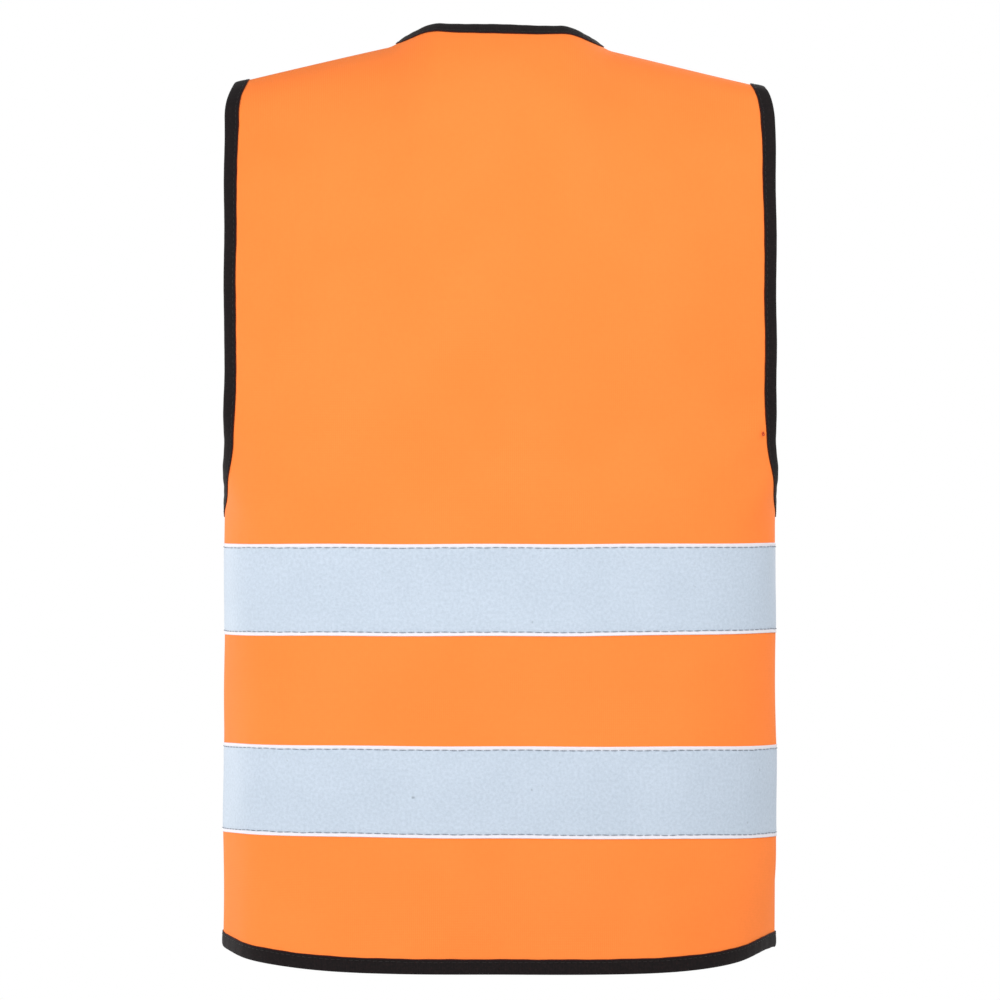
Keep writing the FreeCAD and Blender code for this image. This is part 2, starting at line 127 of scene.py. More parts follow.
TABLE_STEPS = 400
STEP = 0.5 * MM             # half the span of the differences that give tangents

Drape = namedtuple("Drape", "face under")
BACK = Drape(1.0, False)
LEFT_FRONT = Drape(-1.0, False)
RIGHT_FRONT = Drape(-1.0, True)


def smoothstep(value):
    """3 v^2 - 2 v^3, with v held between 0 and 1."""
    value = np.clip(value, 0.0, 1.0)
    return value * value * (3.0 - 2.0 * value)


def ramp(value, start, end):
    """Smooth climb from 0 at the start to 1 at the end."""
    return smoothstep((value - start) / (end - start))


def arc_table(across, depth):
    """Rows of (length of cloth so far, across, depth) along a curve from the centre line outwards."""
    lengths = np.concatenate([[0.0], np.cumsum(np.hypot(np.diff(across), np.diff(depth)))])
    return lengths, across, depth


def waist_table():
    """Quarter superellipse: |x/a|^n + |y/b|^n = 1, then straight on past the side seam."""
    angle = np.linspace(0.0, math.pi / 2, TABLE_STEPS + 1)
    across = HALF_WIDTH * np.sin(angle) ** (2.0 / WAIST_POWER)
    depth = HALF_DEPTH * np.clip(np.cos(angle), 0.0, None) ** (2.0 / WAIST_POWER)
    return arc_table(np.append(across, across[-1]), np.append(depth, -HALF_DEPTH))


def blade_table():
    """y = b - fall |x/a|^p out to the armhole edge, then an arc that turns forwards."""
    share = np.linspace(0.0, 1.0, TABLE_STEPS + 1)
    fall = HALF_DEPTH - BLADE_EDGE_DEPTH
    heading = math.atan(fall * BLADE_POWER / BLADE_HALF_WIDTH)
    turn = np.linspace(heading, math.pi / 2, 50)[1:]
    radius = BLADE_TAIL_RADIUS
    tail_x = BLADE_HALF_WIDTH + radius * (np.sin(turn) - math.sin(heading))
    tail_y = BLADE_EDGE_DEPTH - radius * (math.cos(heading) - np.cos(turn))
    across = np.concatenate([share * BLADE_HALF_WIDTH, tail_x, tail_x[-1:]])
    depth = np.concatenate([HALF_DEPTH - fall * share**BLADE_POWER, tail_y, [-HALF_DEPTH]])
    return arc_table(across, depth)


WAIST = waist_table()
BLADES = blade_table()
SIDE = float(WAIST[0][TABLE_STEPS])
SHOULDER = ROLL_START + abs(ROLL_START) * math.pi / 2


def ridge(across):
    """Height of the shoulder line: a rounded slope that stands up round the neck."""
    lift = NECK_LIFT * (1.0 - ramp(np.abs(across), *NECK_LIFT_RANGE))
    fall = SHOULDER_SLOPE * (np.hypot(across, SHOULDER_ROUND) - NECK_HALF_WIDTH)
    return SHOULDER_LEVEL + lift - fall


def form(drape, along, height):
    """Place of pattern points: the level section at that height, rolled over the shoulder on top.

    Up to the start of the roll, up is the pattern's height.  Past it the angle a is the extra height
    over the roll's radius; depth shrinks by cos a and up climbs to the ridge by sin a.
    """
    blend = ramp(height, *BLADE_BLEND)
    reach = np.abs(along)
    waist_x, waist_y = (np.interp(reach, WAIST[0], column) for column in WAIST[1:])
    blade_x, blade_y = (np.interp(reach, BLADES[0], column) for column in BLADES[1:])
    across = np.copysign(waist_x + blend * (blade_x - waist_x), along)
    depth = waist_y + blend * (blade_y - waist_y)
    if drape.under:
        depth = depth - UNDER_INSET * (1.0 - ramp(-along, *OVERLAP_RANGE))
    angle = np.maximum(height - ROLL_START, 0.0) / abs(ROLL_START)
    rolled = ROLL_START + (ridge(across) - ROLL_START) * np.sin(angle)
    up = np.where(height > ROLL_START, rolled, height)
    tilt = SHOULDER_TILT * across * (1.0 - (across / SHOULDER_TILT_REACH) ** 2)
    up = up + tilt * ramp(up, *SHOULDER_TILT_RANGE) + HEM_TILT * across * ramp(up, *HEM_TILT_RANGE)
    return np.stack([across, drape.face * depth * np.cos(angle), up], axis=-1)


def tangents(drape, along, height):
    """Change of place for each metre along and each metre up, from central differences."""
    across = form(drape, along + STEP, height) - form(drape, along - STEP, height)
    up = form(drape, along, height + STEP) - form(drape, along, height - STEP)
    return across / (2.0 * STEP), up / (2.0 * STEP)


def unit(vectors):
    """Vectors divided by their lengths."""
    return vectors / np.linalg.norm(vectors, axis=-1, keepdims=True)


def normals(drape, along, height):
    """Unit normal away from the body: the cross product of the two tangents."""
    across, up = tangents(drape, along, height)
    return unit(np.cross(up, across)) * drape.face


def folds(drape, along, height):
    """How far the cloth stands off the form.

    A sum of sines: soft flutes and gathers towards the hem, slack between the seams, tension lines
    that run in from the armpits, and puckers along the rows of stitches, less the tuck of the back
    hem.  It fades out to the seams.  Wave numbers are in radians a metre.
    """
    cloth = bpy.context.scene.vest_cloth
    seed = 1.7 if drape.face > 0 else 4.1
    low = 1.0 - ramp(height, -0.50, -0.22)
    flutes = np.sin(along * 63.0 + seed) + 0.6 * np.sin(along * 101.0 + 2.1 * seed + height * 9.0)
    slack = np.sin(along * 31.0 + height * 47.0 + seed) * np.sin(height * 38.0 - along * 22.0 - seed)
    reach = SIDE - np.abs(along)
    pull = np.sin(height * 150.0 + reach * 105.0 + seed)
    pull = pull * np.exp(-((reach - 0.055) / 0.035) ** 2 - ((height - ARMPIT_LEVEL - 0.02) / 0.05) ** 2)
    seams = (UPPER_HIGH.z, UPPER_LOW.z, LOWER_HIGH.z, LOWER_LOW.z)
    pucker = 0.0
    for number, level in enumerate(seams):
        near = np.exp(-(((height - level) / (5.0 * MM)) ** 2))
        wave = np.sin(along * 560.0 + 3.0 * np.sin(along * 43.0 + number) + 1.9 * number + seed)
        pucker = pucker + near * wave
    gathers = np.sin(reach * 118.0 - height * 5.0 + 2.0 * seed) * np.exp(-((reach / 0.075) ** 2))
    calm = 1.0 - (0.45 if drape.face > 0 else 0.2) * np.exp(-((along / 0.10) ** 2))
    stand = 0.6 * low * flutes + 0.45 * slack + 0.55 * pull + 0.8 * low * gathers
    stand = cloth.fold_depth * calm * stand
    if drape.face > 0:
        tuck = ramp(height, LOWER_LOW.z - 4 * MM, HEM_LEVEL) * ramp(along, 0.055, -0.005)
        stand = stand - cloth.hem_tuck * tuck
    stand = stand + cloth.pucker_depth * pucker
    edge = np.minimum(reach, SHOULDER - height) / (14.0 * MM)
    return stand * (1.0 - np.exp(-(edge**2)))


def cloth_point(drape, along, height, lift):
    """Place of a point of the cloth, lifted off the form along its normal."""
    along, height = np.broadcast_arrays(np.asarray(along, float), np.asarray(height, float))
    stand = np.asarray(lift, float) + folds(drape, along, height)
    return form(drape, along, height) + normals(drape, along, height) * stand[..., None]


# ---------------------------------------------------------------- pattern lines


def hem_height(along):
    """Hem, lowest at the centre and level again at the side seams."""
    return HEM_LEVEL + HEM_RISE * np.sin((along / SIDE) ** 2 * math.pi / 2) ** 2


def hem_line(start, end, count=90):
    """Points of the hem between two distances along the cloth."""
    along = np.linspace(start, end, count)
    return np.stack([along, hem_height(along)], axis=-1)


def armhole_line(half):
    """Quarter ellipse out of the armpit, straight up, then a smooth curve in to the shoulder's end."""
    angle = np.linspace(0.0, math.pi / 2, 40)
    scoop = np.stack(
        [
            SIDE - (SIDE - half) * np.sin(angle),
            ARMPIT_LEVEL + ARMHOLE_SCOOP * (1.0 - np.cos(angle)),
        ],
        axis=-1,
    )
    height = np.linspace(ARMPIT_LEVEL + ARMHOLE_SCOOP, SHOULDER, 90)[1:]
    along = half - (half - SHOULDER_END) * ramp(height, SHOULDER - SHOULDER_CURVE, SHOULDER)
    return np.concatenate([scoop, np.stack([along, height], axis=-1)])


def back_neckline(count=90):
    """Half ellipse in plan, from the wearer's left shoulder seam round to the right one."""
    angle = np.linspace(0.0, math.pi, count)
    along = NECK_HALF_WIDTH * np.cos(angle)
    full = np.interp(np.abs(along), BLADES[0], BLADES[2])
    turn = np.arccos(NECK_BACK_DEPTH * np.sin(angle) / full)
    return np.stack([along, ROLL_START + abs(ROLL_START) * turn], axis=-1)


def front_neckline(count=90):
    """Cubic curve from the top of the front edge up to the shoulder seam."""
    share = np.linspace(0.0, 1.0, count)[:, None]
    handles = (
        (-FRONT_OVERLAP, NECK_FOOT_LEVEL),
        (-FRONT_OVERLAP, NECK_FOOT_LEVEL + NECK_FOOT_PULL),
        (NECK_HALF_WIDTH, SHOULDER - NECK_TOP_PULL),
        (NECK_HALF_WIDTH, SHOULDER),
    )
    weights = [math.comb(3, k) * share**k * (1.0 - share) ** (3 - k) for k in range(4)]
    return sum(weight * np.array(handle) for weight, handle in zip(weights, handles))


def front_edge_line():
    """Round the lower corner, up the front edge and along the neckline."""
    angle = np.linspace(0.0, math.pi / 2, 14)
    along = HEM_CORNER - FRONT_OVERLAP
    height = float(hem_height(along)) + HEM_CORNER
    corner = np.stack(
        [along - HEM_CORNER * np.sin(angle), height - HEM_CORNER * np.cos(angle)], axis=-1
    )
    edge = np.linspace(height, NECK_FOOT_LEVEL, 90)[1:-1]
    edge = np.stack([np.full_like(edge, -FRONT_OVERLAP), edge], axis=-1)
    return np.concatenate([corner, edge, front_neckline()])


def front_binding_line():
    """The hem from the side seam, then the front edge and the neckline."""
    hem = hem_line(SIDE, HEM_CORNER - FRONT_OVERLAP)
    return np.concatenate([hem[:-1], front_edge_line()])


def for_side(line, side):
    """The line as drawn for the wearer's left, or its mirror image for the right."""
    return line * (side, 1.0)


def inward_steps(drape, line):
    """Step on the pattern, at each point of the line, that moves a metre in over the cloth.

    The direction in space is square to the line and to the normal; the step is that direction solved
    for the form's two tangents, and it points towards the middle of the panel.
    """
    along, height = line[:, 0], line[:, 1]
    place = form(drape, along, height)
    run = np.gradient(place, axis=0)
    inward = unit(np.cross(run, normals(drape, along, height)))
    across, up = tangents(drape, along, height)
    aa, uu, au = ((p * q).sum(-1) for p, q in ((across, across), (up, up), (across, up)))
    ma, mu = ((inward * q).sum(-1) for q in (across, up))
    area = aa * uu - au * au
    steps = np.stack([(ma * uu - mu * au) / area, (mu * aa - ma * au) / area], axis=-1)
    middle = np.array([0.0 if drape.face > 0 else 0.5 * np.sign(along.sum()) * SIDE, ARMPIT_LEVEL])
    return steps * np.sign((steps * (middle - line)).sum())


def points_inside(line, steps, inward):
    """Pattern points that lie in from a line by each of some distances."""
    return line[:, :1] + steps[:, :1] * inward, line[:, 1:] + steps[:, 1:] * inward


def lengths_along(drape, line):
    """Length of cloth from the start of the line to each of its points."""
    place = form(drape, line[:, 0], line[:, 1])
    return np.concatenate([[0.0], np.cumsum(np.linalg.norm(np.diff(place, axis=0), axis=-1))])


def evenly(drape, line, spacing):
    """Points of the line at an even spacing over the cloth, ends included."""
    lengths = lengths_along(drape, line)
    wanted = np.linspace(0.0, lengths[-1], max(2, round(lengths[-1] / spacing)) + 1)
    return np.stack([np.interp(wanted, lengths, line[:, k]) for k in (0, 1)], axis=-1)


# ---------------------------------------------------------------- meshes


def turned_out(points, quads):
    """The quads, reversed if together they enclose a negative volume."""
    a, b, c, d = (points[quads[:, k]] for k in range(4))
    volume = (np.cross(a, b) * c).sum() + (np.cross(a, c) * d).sum()
    return quads if volume > 0 else quads[:, ::-1]


def make_piece(name, points, quads, material, uv=None):
    """Smooth shaded mesh object from arrays of points, four-cornered faces and pattern coordinates."""
    points = np.ascontiguousarray(points.reshape(-1, 3), dtype=np.float32)
    quads = np.ascontiguousarray(turned_out(points.astype(float), quads), dtype=np.int32)
    mesh = bpy.data.meshes.new(name)
    mesh.vertices.add(len(points))
    mesh.vertices.foreach_set("co", points.ravel())
    mesh.loops.add(quads.size)
    mesh.loops.foreach_set("vertex_index", quads.ravel())
    mesh.polygons.add(len(quads))
    mesh.polygons.foreach_set("loop_start", np.arange(0, quads.size, 4, dtype=np.int32))
    mesh.polygons.foreach_set("use_smooth", np.ones(len(quads), dtype=bool))
    if uv is not None:
        layer = mesh.uv_layers.new(name="pattern")
        layer.data.foreach_set("uv", uv.reshape(-1, 2)[quads.ravel()].astype(np.float32).ravel())
    mesh.update(calc_edges=True)
    mesh.validate()
    mesh.materials.append(material)
    piece = bpy.data.objects.new(name, mesh)
    bpy.context.scene.collection.objects.link(piece)
    return piece


def grid_quads(rows, columns, wrap=False, start=0):
    """Faces of a grid of points numbered row by row; wrap joins the last column to the first."""
    index = np.arange(rows * columns).reshape(rows, columns) + start
    if wrap:
        index = np.concatenate([index, index[:, :1]], axis=1)
    corners = (index[:-1, :-1], index[:-1, 1:], index[1:, 1:], index[1:, :-1])
    return np.stack(corners, axis=-1).reshape(-1, 4)


def sheet_shell(outer, inner):
    """Closed thin solid between two grids of the same shape: both skins and a wall round the rim."""
    rows, columns = outer.shape[:2]
    count = rows * columns
    index = np.arange(count).reshape(rows, columns)
    rim = np.concatenate([index[0, :-1], index[:-1, -1], index[-1, :0:-1], index[:0:-1, 0]])
    onward = np.roll(rim, -1)
    wall = np.stack([rim, rim + count, onward + count, onward], axis=-1)
    quads = [grid_quads(rows, columns), grid_quads(rows, columns, start=count)[:, ::-1], wall]
    points = np.concatenate([outer.reshape(-1, 3), inner.reshape(-1, 3)])
    return points, np.concatenate(quads)


def swept_tube(rings):
    """Closed solid through rings of points (..., stations, around, 3), for one tube or a row of them.

    Each end is closed by a strip of faces between the two halves of its ring.
    """
    rings = rings.reshape((-1,) + rings.shape[-3:])
    tubes, stations, around = rings.shape[:3]
    body = grid_quads(stations, around, wrap=True)
    half = np.arange(around // 2 - 1)
    cap = np.stack([half, half + 1, around - 2 - half, around - 1 - half], axis=-1)
    quads = np.concatenate([body, cap[:, ::-1], cap + (stations - 1) * around])
    starts = np.arange(tubes)[:, None, None] * stations * around
    return rings.reshape(-1, 3), (quads[None] + starts).reshape(-1, 4)


def thread_rings(centres, up, radius, around=6):
    """Rings round many short threads: centres and up are (threads, stations, 3), radius (stations,)."""
    run = unit(np.gradient(centres, axis=1))
    side = unit(np.cross(run, up))
    top = np.cross(side, run)
    angle = (np.arange(around) + 0.5) * 2.0 * math.pi / around
    spokes = side[:, :, None] * np.cos(angle)[:, None] + top[:, :, None] * np.sin(angle)[:, None]
    return centres[:, :, None] + spokes * np.asarray(radius)[None, :, None, None]


# ---------------------------------------------------------------- materials


def linear(code):
    """Linear RGBA of an sRGB hex code."""
    values = [int(code[k : k + 2], 16) / 255.0 for k in (1, 3, 5)]
    return tuple(
        v / 12.92 if v <= 0.04045 else ((v + 0.055) / 1.055) ** 2.4 for v in values
    ) + (1.0,)


def add_node(tree, kind, inputs=None, **settings):
    """Node with its settings; an input is a value, or another node's output to link from."""
    node = tree.nodes.new(kind)
    for name, value in settings.items():
        setattr(node, name, value)
    for socket, value in (inputs or {}).items():
        if isinstance(value, bpy.types.NodeSocket):
            tree.links.new(value, node.inputs[socket])
        else:
            node.inputs[socket].default_value = value
    return node


def new_material(name, roughness, ior=1.5, sheen=0.0, sheen_roughness=0.5, specular=0.5):
    """Material with a bare dielectric shader, and its tree, shader and pattern coordinates."""
    material = bpy.data.materials.new(name)
    material.use_nodes = True
    tree = material.node_tree
    tree.nodes.clear()
    shader = add_node(
        tree,
        "ShaderNodeBsdfPrincipled",
        {
            "Roughness": roughness,
            "IOR": ior,
            "Sheen Weight": sheen,
            "Sheen Roughness": sheen_roughness,
            "Specular IOR Level": specular,
        },
    )
    add_node(tree, "ShaderNodeOutputMaterial", {"Surface": shader.outputs["BSDF"]})
    pattern = add_node(tree, "ShaderNodeUVMap", uv_map="pattern").outputs["UV"]
    return material, tree, shader, pattern


def ripple(tree, coordinates, spacing, direction, distortion=0.0):
    """Parallel ridges at a real spacing: the wave node repeats every 2 pi / 20 of its scaled input."""
    return add_node(
        tree,
        "ShaderNodeTexWave",
        {
            "Vector": coordinates,
            "Scale": 2.0 * math.pi / 20.0 / spacing,
            "Distortion": distortion,
            "Detail": 1.0,
            "Detail Scale": 1.0,
        },
        wave_type="BANDS",
        bands_direction=direction,
    ).outputs["Fac"]


def grain(tree, coordinates, size, detail=2.0, roughness=0.5):
    """Cloudy noise whose lumps are about the given size."""
    return add_node(
        tree,
        "ShaderNodeTexNoise",
        {"Vector": coordinates, "Scale": 1.0 / size, "Detail": detail, "Roughness": roughness},
    ).outputs["Fac"]


def combine(tree, operation, first, second, third=0.0):
    """Sum, product or other arithmetic of two or three values."""
    node = add_node(tree, "ShaderNodeMath", {0: first, 1: second, 2: third}, operation=operation)
    return node.outputs["Value"]


def mix_colours(tree, factor, first, second):
    """Colour between two, by factor; 0, 6 and 7 are the mix node's factor and its two colours."""
    inputs = {0: factor, 6: first, 7: second}
    return add_node(tree, "ShaderNodeMix", inputs, data_type="RGBA").outputs[2]


def relit(colour, share):
    """A colour with its light times a share."""
    return tuple(c * share for c in colour[:3]) + (1.0,)


def span(tree, value, low, high):
    """Smooth climb from 0 at low to 1 at high."""
    return add_node(
        tree,
        "ShaderNodeMapRange",
        {"Value": value, "From Min": low, "From Max": high},
        interpolation_type="SMOOTHSTEP",
    ).outputs["Result"]


def finish_surface(tree, shader, colour, height, distance, strength):
    """Colour the shader and bump it by a height from 0 to 1, of a real distance."""
    tree.links.new(colour, shader.inputs["Base Color"])
    inputs = {"Height": height, "Distance": distance, "Strength": strength}
    bump = add_node(tree, "ShaderNodeBump", inputs)
    tree.links.new(bump.outputs["Normal"], shader.inputs["Normal"])


def fluorescent_knit():
    """Warp knitted polyester dyed fluorescent orange: upright wales of small loops with a silky sheen.

    The real wales are about 0.6 mm apart; they are drawn at 1.1 mm so that they show.
    """
    cloth = bpy.context.scene.vest_cloth
    material, tree, shader, pattern = new_material(
        "fluorescent_polyester_knit", roughness=0.75, sheen=0.05, sheen_roughness=0.4, specular=0.15
    )
    shader.inputs["Sheen Tint"].default_value = linear("#FFB070")
    wale = cloth.wale_spacing
    wales = ripple(tree, pattern, wale, "X", distortion=0.4)
    courses = ripple(tree, pattern, 0.8 * wale, "Y", distortion=0.6)
    loops = combine(tree, "MULTIPLY", wales, courses)
    patches = grain(tree, pattern, 70.0 * MM, detail=2.0)
    slubs = grain(tree, pattern, 2.8 * MM, detail=3.0, roughness=0.75)
    base = mix_colours(
        tree, span(tree, patches, 0.3, 0.7), tuple(cloth.shade_colour), tuple(cloth.colour)
    )
    # Painted shade: the valleys between the knit's loops, the low parts of the bump, are darkened
    # towards a deeper orange; the slubs' low spots add flecks of it too.
    deep = relit(cloth.shade_colour, 0.8)
    painted_valley_shade = combine(tree, "MULTIPLY_ADD", span(tree, loops, 0.5, 0.05), 0.16, 0.0)
    flecks_and_valley_shade = combine(tree, "MULTIPLY_ADD", span(tree, slubs, 0.62, 0.35), 0.10, painted_valley_shade)
    relief = combine(tree, "MULTIPLY_ADD", slubs, 0.6, loops)
    finish_surface(tree, shader, mix_colours(tree, flecks_and_valley_shade, base, deep), relief, 0.10 * MM, 0.6)
    return material


def glass_bead_tape():
    """Retroreflective fabric: fine glass beads in a grey binder, matt by day with a cool milky grain.

    Real beads are about 0.06 mm across; they are drawn at 0.7 mm so that they show.  The pattern's
    height runs from the lower edge of the band, so its margins can be paler.
    """
    band = bpy.context.scene.vest_bands
    material, tree, shader, pattern = new_material(
        "glass_bead_reflective_fabric", roughness=0.55, ior=1.6, sheen=0.04, specular=0.25
    )
    beads = add_node(
        tree, "ShaderNodeTexVoronoi", {"Vector": pattern, "Scale": 1.0 / (0.7 * MM)}
    ).outputs["Distance"]
    mottle = grain(tree, pattern, 1.7 * MM, detail=4.0, roughness=0.7)
    clouds = grain(tree, pattern, 30.0 * MM, detail=2.0)
    tone = combine(tree, "MULTIPLY_ADD", span(tree, mottle, 0.28, 0.72), 0.75, 0.06)
    tone = combine(tree, "MULTIPLY_ADD", span(tree, clouds, 0.3, 0.7), 0.15, tone)
    base = mix_colours(tree, tone, tuple(band.shade_colour), tuple(band.colour))
    rubs = span(tree, grain(tree, pattern, 5.0 * MM, detail=2.0, roughness=0.3), 0.75, 0.86)
    base = mix_colours(tree, rubs, base, relit(band.shade_colour, 0.55))
    across = add_node(tree, "ShaderNodeSeparateXYZ", {"Vector": pattern}).outputs["Y"]
    middle = combine(tree, "ABSOLUTE", combine(tree, "SUBTRACT", across, band.height / 2), 0.0)
    rim = span(tree, middle, band.height / 2 - 2.6 * MM, band.height / 2 - 1.2 * MM)
    colour = mix_colours(tree, rim, base, tuple(band.edge_colour))
    relief = combine(tree, "MULTIPLY_ADD", mottle, 0.8, beads)
    finish_surface(tree, shader, colour, relief, 0.06 * MM, 0.5)
    return material


def binding_tape():
    """Black woven polyester tape: fine ribs across it and a slightly fuzzy, brownish black face.

    The real ribs are about 0.4 mm apart; they are drawn at 0.9 mm so that they show.
    """
    binding = bpy.context.scene.vest_binding
    material, tree, shader, pattern = new_material(
        "black_polyester_binding", roughness=0.85, sheen=0.03, sheen_roughness=0.5, specular=0.15
    )
    ribs = ripple(tree, pattern, 0.9 * MM, "X", distortion=0.5)
    ends = ripple(tree, pattern, 0.7 * MM, "Y", distortion=0.5)
    weave = combine(tree, "MULTIPLY", ribs, ends)
    fuzz = grain(tree, pattern, 1.8 * MM, detail=4.0, roughness=0.7)
    # Painted highlight: the fuzz's lumps and the ribs' tops, the high parts of the bump, are painted
    # lighter.
    tone = combine(tree, "MULTIPLY_ADD", span(tree, fuzz, 0.4, 0.7), 0.5, 0.0)
    tone = combine(tree, "MULTIPLY_ADD", weave, 0.5, tone)
    colour = mix_colours(tree, tone, tuple(binding.colour), tuple(binding.rib_highlight_colour))
    # Painted orange bounce light: the last tenth of each leaf, at its edge against the orange cloth, is
    # tinted dark red.
    inward = add_node(tree, "ShaderNodeSeparateXYZ", {"Vector": pattern}).outputs["Y"]
    edge = span(tree, inward, 0.90 * binding.width, 1.0 * binding.width)
    colour = mix_colours(tree, edge, colour, tuple(binding.edge_colour))
    relief = combine(tree, "MULTIPLY_ADD", fuzz, 0.7, weave)
    finish_surface(tree, shader, colour, relief, 0.14 * MM, 0.8)
    return material


def spun_thread(name, colour):
    """Spun polyester sewing thread: plies twisted round each other, seen as short slanting ridges."""
    material, tree, shader, _ = new_material(name, roughness=0.6, sheen=0.06, specular=0.3)
    place = add_node(tree, "ShaderNodeTexCoord").outputs["Object"]
    plies = ripple(tree, place, 0.6 * MM, "DIAGONAL", distortion=0.3)
    # Painted shade: the grooves between the plies, the low parts of the bump, are darkened to 0.55 of
    # the thread's colour.
    turned = mix_colours(tree, plies, relit(colour, 0.55), colour)
    finish_surface(tree, shader, turned, plies, 0.08 * MM, 0.7)
    return material


def woven_closure_tape(name, colour):
    """Nylon hook or loop tape: a tight plain weave under the hooks or loops."""
    material, tree, shader, _ = new_material(name, roughness=0.7, sheen=0.4)
    place = add_node(tree, "ShaderNodeTexCoord").outputs["Object"]
    weave = combine(
        tree, "MULTIPLY", ripple(tree, place, 0.8 * MM, "X"), ripple(tree, place, 0.8 * MM, "Z")
    )
    fuzz = grain(tree, place, 1.2 * MM, detail=3.0, roughness=0.7)
    tone = combine(tree, "MULTIPLY_ADD", weave, 0.6, combine(tree, "MULTIPLY", fuzz, 0.4))
    # Painted highlight: the raised weave and fuzz, the high parts of the bump, are painted up to 2.2
    # times lighter than the tape's colour.
    woven = mix_colours(tree, tone, colour, relit(colour, 2.2))
    finish_surface(tree, shader, woven, tone, 0.15 * MM, 0.8)
    return material


def label_satin():
    """White polyester satin label tape: long floats along its length, whose silky streak is painted
    sheen.
    """
    labels = bpy.context.scene.vest_labels
    material, tree, shader, pattern = new_material("woven_satin_label", roughness=0.38, sheen=0.2)
    floats = ripple(tree, pattern, 0.5 * MM, "Y", distortion=0.8)
    slubs = grain(tree, pattern, 3.0 * MM, detail=3.0)
    tone = combine(tree, "MULTIPLY_ADD", floats, 0.5, combine(tree, "MULTIPLY", slubs, 0.5))
    # Painted sheen and shade: the floats' raised tops keep the full white and the hollows between them
    # are darkened to 0.8, mixed with random slubs.
    colour = mix_colours(tree, tone, relit(labels.colour, 0.8), tuple(labels.colour))
    finish_surface(tree, shader, colour, tone, 0.05 * MM, 0.6)
    return material


def studio_paper():
    """Matt white background paper."""
    material, tree, shader, _ = new_material("white_background_paper", roughness=0.9, specular=0.1)
    place = add_node(tree, "ShaderNodeTexCoord").outputs["Object"]
    tone = span(tree, grain(tree, place, 0.4), 0.3, 0.7)
    tree.links.new(
        mix_colours(tree, tone, linear("#F7F7F7"), linear("#FBFBFB")), shader.inputs["Base Color"]
    )
    return material


def material_for(key):
    """The material of that name, made on its first use."""
    makers = {
        "fluorescent_polyester_knit": fluorescent_knit,
        "glass_bead_reflective_fabric": glass_bead_tape,
        "black_polyester_binding": binding_tape,
        "woven_satin_label": label_satin,
        "white_background_paper": studio_paper,
    }
    stitches = bpy.context.scene.vest_stitches
    closure = bpy.context.scene.vest_closure
    threads = {
        "band_thread": stitches.band_colour,
        "binding_thread": stitches.binding_colour,
        "orange_thread": stitches.cloth_colour,
        "loose_thread": stitches.loose_colour,
    }
    tapes = {"nylon_hook_tape": closure.hook_colour, "nylon_loop_tape": closure.loop_colour}
    found = bpy.data.materials.get(key)
    if found:
        return found
    if key in makers:
        return makers[key]()
    if key in threads:
        return spun_thread(key, tuple(threads[key]))
    return woven_closure_tape(key, tuple(tapes[key]))


# ---------------------------------------------------------------- sizes and colours a user may change


def colour_setting(name, description, code):
    """Colour whose default is an sRGB hex code."""
    return FloatVectorProperty(
        name=name, description=description, subtype="COLOR", size=4, min=0, max=1, default=linear(code)
    )


def length_setting(name, description, millimetres):
    """Length whose default is in millimetres; only a level, whose default is negative, may be."""
    return FloatProperty(
        name=name,
        description=description,
        default=millimetres * MM,
        min=0.0 if millimetres >= 0.0 else -1.0e4,
        subtype="DISTANCE",
        unit="LENGTH",
    )


def power_setting(name, description, watts):
    """Power of a light."""
    return FloatProperty(name=name, description=description, default=watts, min=0.0, subtype="POWER")


class VestCloth(bpy.types.PropertyGroup):
    """Orange cloth of the back and the two fronts."""

    colour: colour_setting("Colour", "Fluorescent orange of the lit cloth", "#FF873D")
    shade_colour: colour_setting("Shade", "Colour of the slightly duller patches", "#FE843A")
    thickness: length_setting("Thickness", "Thickness of the drawn cloth", 0.45)
    spacing: length_setting("Mesh spacing", "Distance between points of the panels", 2.7)
    fold_depth: length_setting("Fold depth", "How far the soft folds stand off the form", 1.35)
    hem_tuck: length_setting("Hem tuck", "How far the right half of the back hem swings in", 7.0)
    pucker_depth: length_setting("Pucker depth", "Height of the puckers along sewn rows", 0.16)
    wale_spacing: length_setting("Wale spacing", "Distance between the ribs of the knit", 1.1)


class VestBands(bpy.types.PropertyGroup):
    """Retroreflective bands round the chest and the waist."""

    colour: colour_setting("Colour", "Pale face of the glass bead fabric", "#C0CCDA")
    shade_colour: colour_setting("Shade", "Darker grain between the beads", "#ACB9C7")
    edge_colour: colour_setting("Edge colour", "Paler margins outside the stitches", "#DFDCE2")
    height: length_setting("Height", "Width of the tape", (UPPER_HIGH.z - UPPER_LOW.z) / MM)
    stitch_inset: length_setting("Stitch inset", "Distance of the stitches from the edges", 2.1)


class VestBinding(bpy.types.PropertyGroup):
    """Black tape folded over every raw edge."""

    colour: colour_setting("Colour", "Brownish black of the tape", "#0F0C0D")
    # painted highlight on the raised tops of the tape's ribs
    rib_highlight_colour: colour_setting("Light colour", "Worn tops of the tape's ribs", "#221718")
    # painted orange bounce light on the leaf edges next to the orange cloth
    edge_colour: colour_setting("Edge colour", "Orange glow on the leaf edges", "#3E0F0A")
    width: length_setting("Width", "Width of each leaf of the folded tape", 7.8)


class VestStitches(bpy.types.PropertyGroup):
    """Threads of the sewn rows."""

    band_colour: colour_setting("Band thread", "Thread that holds the bands", "#858E9C")
    binding_colour: colour_setting("Binding thread", "Thread that holds the bindings", "#1B1516")
    cloth_colour: colour_setting("Seam thread", "Thread of the seams", "#F2702C")
    loose_colour: colour_setting("Loose thread", "Thread end left at an armhole", "#C8381E")
    band_pitch: length_setting("Band pitch", "Length of a stitch and its gap on the bands", 4.6)
    binding_pitch: length_setting("Binding pitch", "The same on the bindings", 3.3)
    radius: length_setting("Radius", "Radius of the sewing thread", 0.22)


